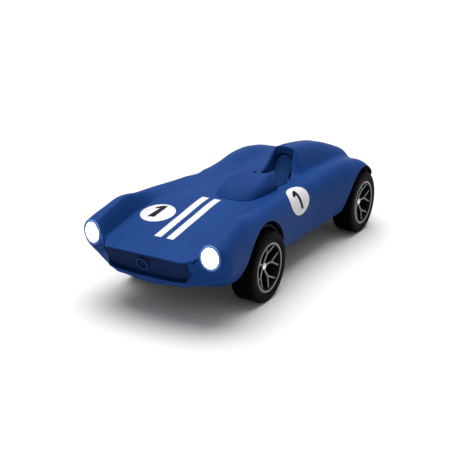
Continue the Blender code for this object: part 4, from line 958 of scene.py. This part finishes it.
def make_nose():
    panel = sloped_prism("grille_backing", mouth_outline(GAP),
                         (MOUTH_DEPTH - GAP - PANEL_THICKNESS, MOUTH_DEPTH - GAP))
    grille = add_object("grille_backing", panel, MATERIALS["grille_blue"])
    place(grille, "grille_panel")

    profile = [(RING_TUBE * math.sin(a) - RING_SINK, RING_RADIUS + RING_TUBE * math.cos(a)) for a in full_turn(16)]
    mesh = turned("grille_badge", profile, 64)
    mesh.transform(Matrix.Rotation(math.pi / 2, 4, "Z"))
    mesh.transform(Matrix.Rotation(math.atan(FACE_LEAN), 4, "X"))
    ring_z = (MOUTH_TOP_Z + MOUTH_BOTTOM_Z) / 2
    ring_y = FACE_Y + FACE_LEAN * (FACE_TOP_Z - ring_z) + MOUTH_DEPTH - 2 * GAP - RING_SET
    # The badge is body-blue plastic but takes the darker cockpit blue: painted shade from the mouth's recess
    ring = add_object("grille_badge", moved(mesh, (RING_X, ring_y, ring_z)), MATERIALS["tub_blue"])
    place(ring, "grille_ring")

    glass = LAMP_HALF_WIDTH - LENS_INSET
    dome = [(LENS_FACE - LENS_CROWN * math.sqrt(max(1 - (i / 12) ** 2, 0.0)), glass * i / 12) for i in range(13)]
    lens = dome + [(POCKET_STEP - LENS_LAP, glass), (LENS_FOOT, POCKET_THROAT - GAP), (LENS_FOOT, 0)]
    foot = LAMP_DEPTH - GAP
    cup = [(CUP_START, POCKET_THROAT - GAP), (foot, POCKET_FOOT - GAP), (foot, CUP_BULB)]
    cup += [(foot - CUP_WALL - CUP_DEPTH * (i / 8) ** 2, CUP_BULB + i / 8) for i in range(9)]
    rim = [(BEZEL_TUBE * math.sin(a) - BEZEL_PROUD, LAMP_HALF_WIDTH + GAP + BEZEL_TUBE * math.cos(a))
           for a in full_turn(20)]
    for side, word in ((1, "left"), (-1, "right")):
        # The bezel's light blue is painted glow round the lit lens
        bezel = add_object(f"lamp_bezel_{word}", lamp_mesh("bezel", rim, side), BEZEL_PAINTED_GLOW)
        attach(bezel, "body")
        made = add_object(f"lit_lens_{word}", lamp_mesh("lens", lens, side), MATERIALS["lens_white"])
        place(made, f"headlight_lens_{word}")
        made = add_object(f"reflector_cup_{word}", lamp_mesh("cup", cup, side), MATERIALS["chrome"])
        place(made, f"headlight_reflector_{word}")


# ---- wheels

# (distance in from the tyre's side, height above the bore) up its wall, and its tread grooves
SIDEWALL = ((0.9, 0.0), (0.25, 0.15), (0.1, 0.6), (0.1, 1.5), (0.0, 1.7), (0.0, 2.9), (0.12, 3.1))
SHOULDER_BULGE, SHOULDER_TUCK = 0.5, 0.9
GROOVES, GROOVE_TOP, GROOVE_FLOOR, GROOVE_DEPTH = (3.1, 1.1), 0.35, 0.2, 0.35

BARREL_RADIUS = TYRE_BORE - 0.12
HUB_RECESS, HUB_RADIUS, HUB_NOSE_RADIUS = 3.0, 3.0, 2.6
HUB_FRONT = TYRE_WIDTH / 2 - HUB_RECESS - 0.9
CAP_RADIUS, CAP_CROWN = 1.9, 0.75
LIP_TUBE = 0.28
RING_OUTER, RING_INNER = 12.35, 11.25
SPOKE_STEM, SPOKE_ARM, SPOKE_FORK = 0.62, 0.52, 3.4
SPOKE_SPREAD = math.radians(19.0)
SPOKE_PHASE = 5.0
# (depth behind the spoke's face, share of its half width) round its section, of which three sides are bright
SPOKE_SECTION = ((1.7, 1.0), (0.3, 1.0), (0.0, 0.72), (0.0, -0.72), (0.3, -1.0), (1.7, -1.0))
BRIGHT_SIDES = (1, 2, 3)


def tyre_profile(radius):
    """Half the tyre's width either way: a flat tread with four fine grooves, round shoulders and a ribbed wall."""
    half = TYRE_WIDTH / 2
    wall = [(half - inset, TYRE_BORE + rise) for inset, rise in SIDEWALL]
    inset, rise = SIDEWALL[-1]
    quarter = 0.5 * math.pi
    shoulder = [(half - inset - SHOULDER_BULGE * (1 - math.cos(a)) - SHOULDER_TUCK * (a / quarter) ** 3,
                 TYRE_BORE + rise + (radius - TYRE_BORE - rise) * math.sin(a))
                for a in (quarter * i / 8 for i in range(1, 9))]
    tread = []
    for groove in GROOVES:
        tread += [(groove + GROOVE_TOP, radius), (groove + GROOVE_FLOOR, radius - GROOVE_DEPTH),
                  (groove - GROOVE_FLOOR, radius - GROOVE_DEPTH), (groove - GROOVE_TOP, radius)]
    right = wall + shoulder + tread
    return right + [(-x, r) for x, r in reversed(right)]


def spoke_lines(hub, barrel):
    """Five forked spokes as (start, end, half width) lines in polar (radius, angle in radians)."""
    fork = hub + SPOKE_FORK
    lines = []
    for spoke in range(5):
        middle = math.radians(SPOKE_PHASE + 72 * spoke)
        lines.append(((hub - 0.8, middle), (fork + 0.3, middle), SPOKE_STEM))
        for sign in (-1, 1):
            lines.append(((fork, middle), (barrel, middle + sign * SPOKE_SPREAD), SPOKE_ARM))
    return lines


def make_spokes(name, hub, barrel, front):
    """Dished spokes whose faces are bright (second material) and whose flanks are black."""
    bm = bmesh.new()
    steps = 8

    def dish(radius):
        return front - HUB_RECESS * max(1 - radius / barrel, 0.0) ** 0.8

    for (r0, a0), (r1, a1), half in spoke_lines(hub, barrel):
        start = Vector((r0 * math.cos(a0), r0 * math.sin(a0)))
        end = Vector((r1 * math.cos(a1), r1 * math.sin(a1)))
        side = (end - start).normalized().orthogonal() * half
        rings = []
        for k in range(steps + 1):
            p = start.lerp(end, k / steps)
            x = dish(p.length)
            rings.append([bm.verts.new((x - depth, p.x + side.x * s, p.y + side.y * s))
                          for depth, s in SPOKE_SECTION])
        for first, second in zip(rings, rings[1:]):
            for i, face in enumerate(quads(bm, first, second)):
                face.material_index = int(i in BRIGHT_SIDES)
        bm.faces.new(rings[0])
        bm.faces.new(rings[-1])
    return mesh_of(name, bm, 30.0)


def rim_mesh():
    """A left-hand rim about its own middle: black barrel, hub and spoke flanks, bright lip and spoke faces."""
    half, outer = TYRE_WIDTH / 2, BARREL_RADIUS
    barrel = ((-half + 0.7, outer), (half - 0.3, outer), (half - 0.3, outer - 0.9), (half - 2.6, outer - 1.5),
              (-half + 0.7, outer - 1.2))
    lip = [(half - LIP_TUBE + LIP_TUBE * math.sin(a),
            (RING_OUTER + RING_INNER) / 2 + (RING_OUTER - RING_INNER) / 2 * math.cos(a)) for a in full_turn(14)]
    bore = AXLE_RADIUS + GAP
    hub = ((1.5 - half, bore), (1.5 - half, HUB_RADIUS), (HUB_FRONT - 0.6, HUB_RADIUS),
           (HUB_FRONT, HUB_NOSE_RADIUS), (HUB_FRONT, bore))
    return joined("rim", [(turned("barrel", barrel, 96), 0), (turned("lip", lip, 96), 1), (turned("hub", hub, 48), 0),
                          (make_spokes("spokes", 2.7, outer - 0.7, half - 0.75), None)])


def cap_mesh():
    """The domed bright cap on the hub."""
    foot, shoulder = HUB_FRONT + 0.1, HUB_FRONT + 0.7
    dome = [(shoulder + CAP_CROWN * math.sin(a), CAP_RADIUS * math.cos(a))
            for a in (0.5 * math.pi * i / 8 for i in range(1, 8))]
    return turned("cap", [(foot, 0), (foot, CAP_RADIUS), (shoulder, CAP_RADIUS), *dome, (shoulder + CAP_CROWN, 0)],
                  48)


def make_wheels():
    for end in ("front", "rear"):
        for side, hand in ((1, "left"), (-1, "right")):
            centre = node_centre(f"tyre_{end}_{hand}") / MM
            tyre = turned("tyre", tyre_profile(centre.z), 128, smooth_angle=30.0)
            for mesh, name, node, slot, *extra in (
                    (tyre, "rubber_tyre", "tyre", "tyre_black"), (rim_mesh(), "spoked_rim", "rim", "rim_black", SILVER),
                    (cap_mesh(), "bright_cap", "hub_cap", "chrome")):
                made = add_object(f"{name}_{end}_{hand}", moved(mirrored(mesh, side), centre), MATERIALS[slot], *extra)
                place(made, f"{node}_{end}_{hand}", f"{end}_wheels")


# ---- scene

FLOOR_SIZE = 40.0
SKY_STRENGTH = 0.56
SUN_STRENGTH, SUN_ANGLE = 4.2, 60.0
SUN_FROM = (-0.14, 0.16, 1.0)
CAMERA_AZIMUTH, CAMERA_ELEVATION, CAMERA_DISTANCE = 30.68, 20.03, 0.4932
CAMERA_TARGET = (0.0, -0.0255, 0.0249)
CAMERA_LENS, CAMERA_SENSOR = 77.2, 36.0


def finish_cad_nodes():
    """Every CAD node takes the procedural material of its slot, whose name its packed material carries."""
    for node in nodes.values():
        slot = node.data.materials[0].name
        node.data.materials.clear()
        node.data.materials.append(MATERIALS[slot])


def make_stage():
    """A plain pale floor under an even white sky."""
    bm = bmesh.new()
    bmesh.ops.create_grid(bm, x_segments=8, y_segments=8, size=FLOOR_SIZE / 2)
    mesh = bpy.data.meshes.new("studio_floor")
    bm.to_mesh(mesh)
    bm.free()
    made, tree, shader = node_tree("studio_floor")
    grain = pattern(tree, "Noise", 3.0)
    ramp(tree, grain, shader, (0.60, 0.60, 0.60), (0.62, 0.62, 0.62))
    put(shader, {"Roughness": 0.9, "Specular IOR Level": 0.1})
    add_object("studio_floor", mesh, made)

    world = bpy.data.worlds.new("studio")
    bpy.context.scene.world = world
    world.use_nodes = True
    put(world.node_tree.nodes["Background"], {"Color": (1.0, 1.0, 1.0, 1.0), "Strength": SKY_STRENGTH})


def make_lights():
    """One very wide soft light from above, a little from behind and from the car's right."""
    sun = bpy.data.lights.new("overhead", "SUN")
    sun.energy = SUN_STRENGTH
    sun.angle = math.radians(SUN_ANGLE)
    obj = add_object("overhead", sun)
    obj.rotation_euler = Vector(SUN_FROM).to_track_quat("Z", "Y").to_euler()


def make_camera():
    """The view from ahead, to the car's left and above."""
    azimuth, elevation = math.radians(CAMERA_AZIMUTH), math.radians(CAMERA_ELEVATION)
    back = Vector((math.sin(azimuth) * math.cos(elevation), -math.cos(azimuth) * math.cos(elevation),
                   math.sin(elevation)))
    camera = bpy.data.cameras.new("camera")
    camera.lens = CAMERA_LENS
    camera.sensor_width = CAMERA_SENSOR
    camera.clip_start = 0.01
    obj = add_object("camera", camera)
    obj.location = Vector(CAMERA_TARGET) + back * CAMERA_DISTANCE
    obj.rotation_euler = (-back).to_track_quat("-Z", "Y").to_euler()
    bpy.context.scene.camera = obj
    bpy.context.scene.view_settings.view_transform = "Standard"


finish_cad_nodes()
make_body()
make_windscreen()
make_seat()
make_decals()
make_nose()
make_wheels()
make_stage()
make_lights()
make_camera()
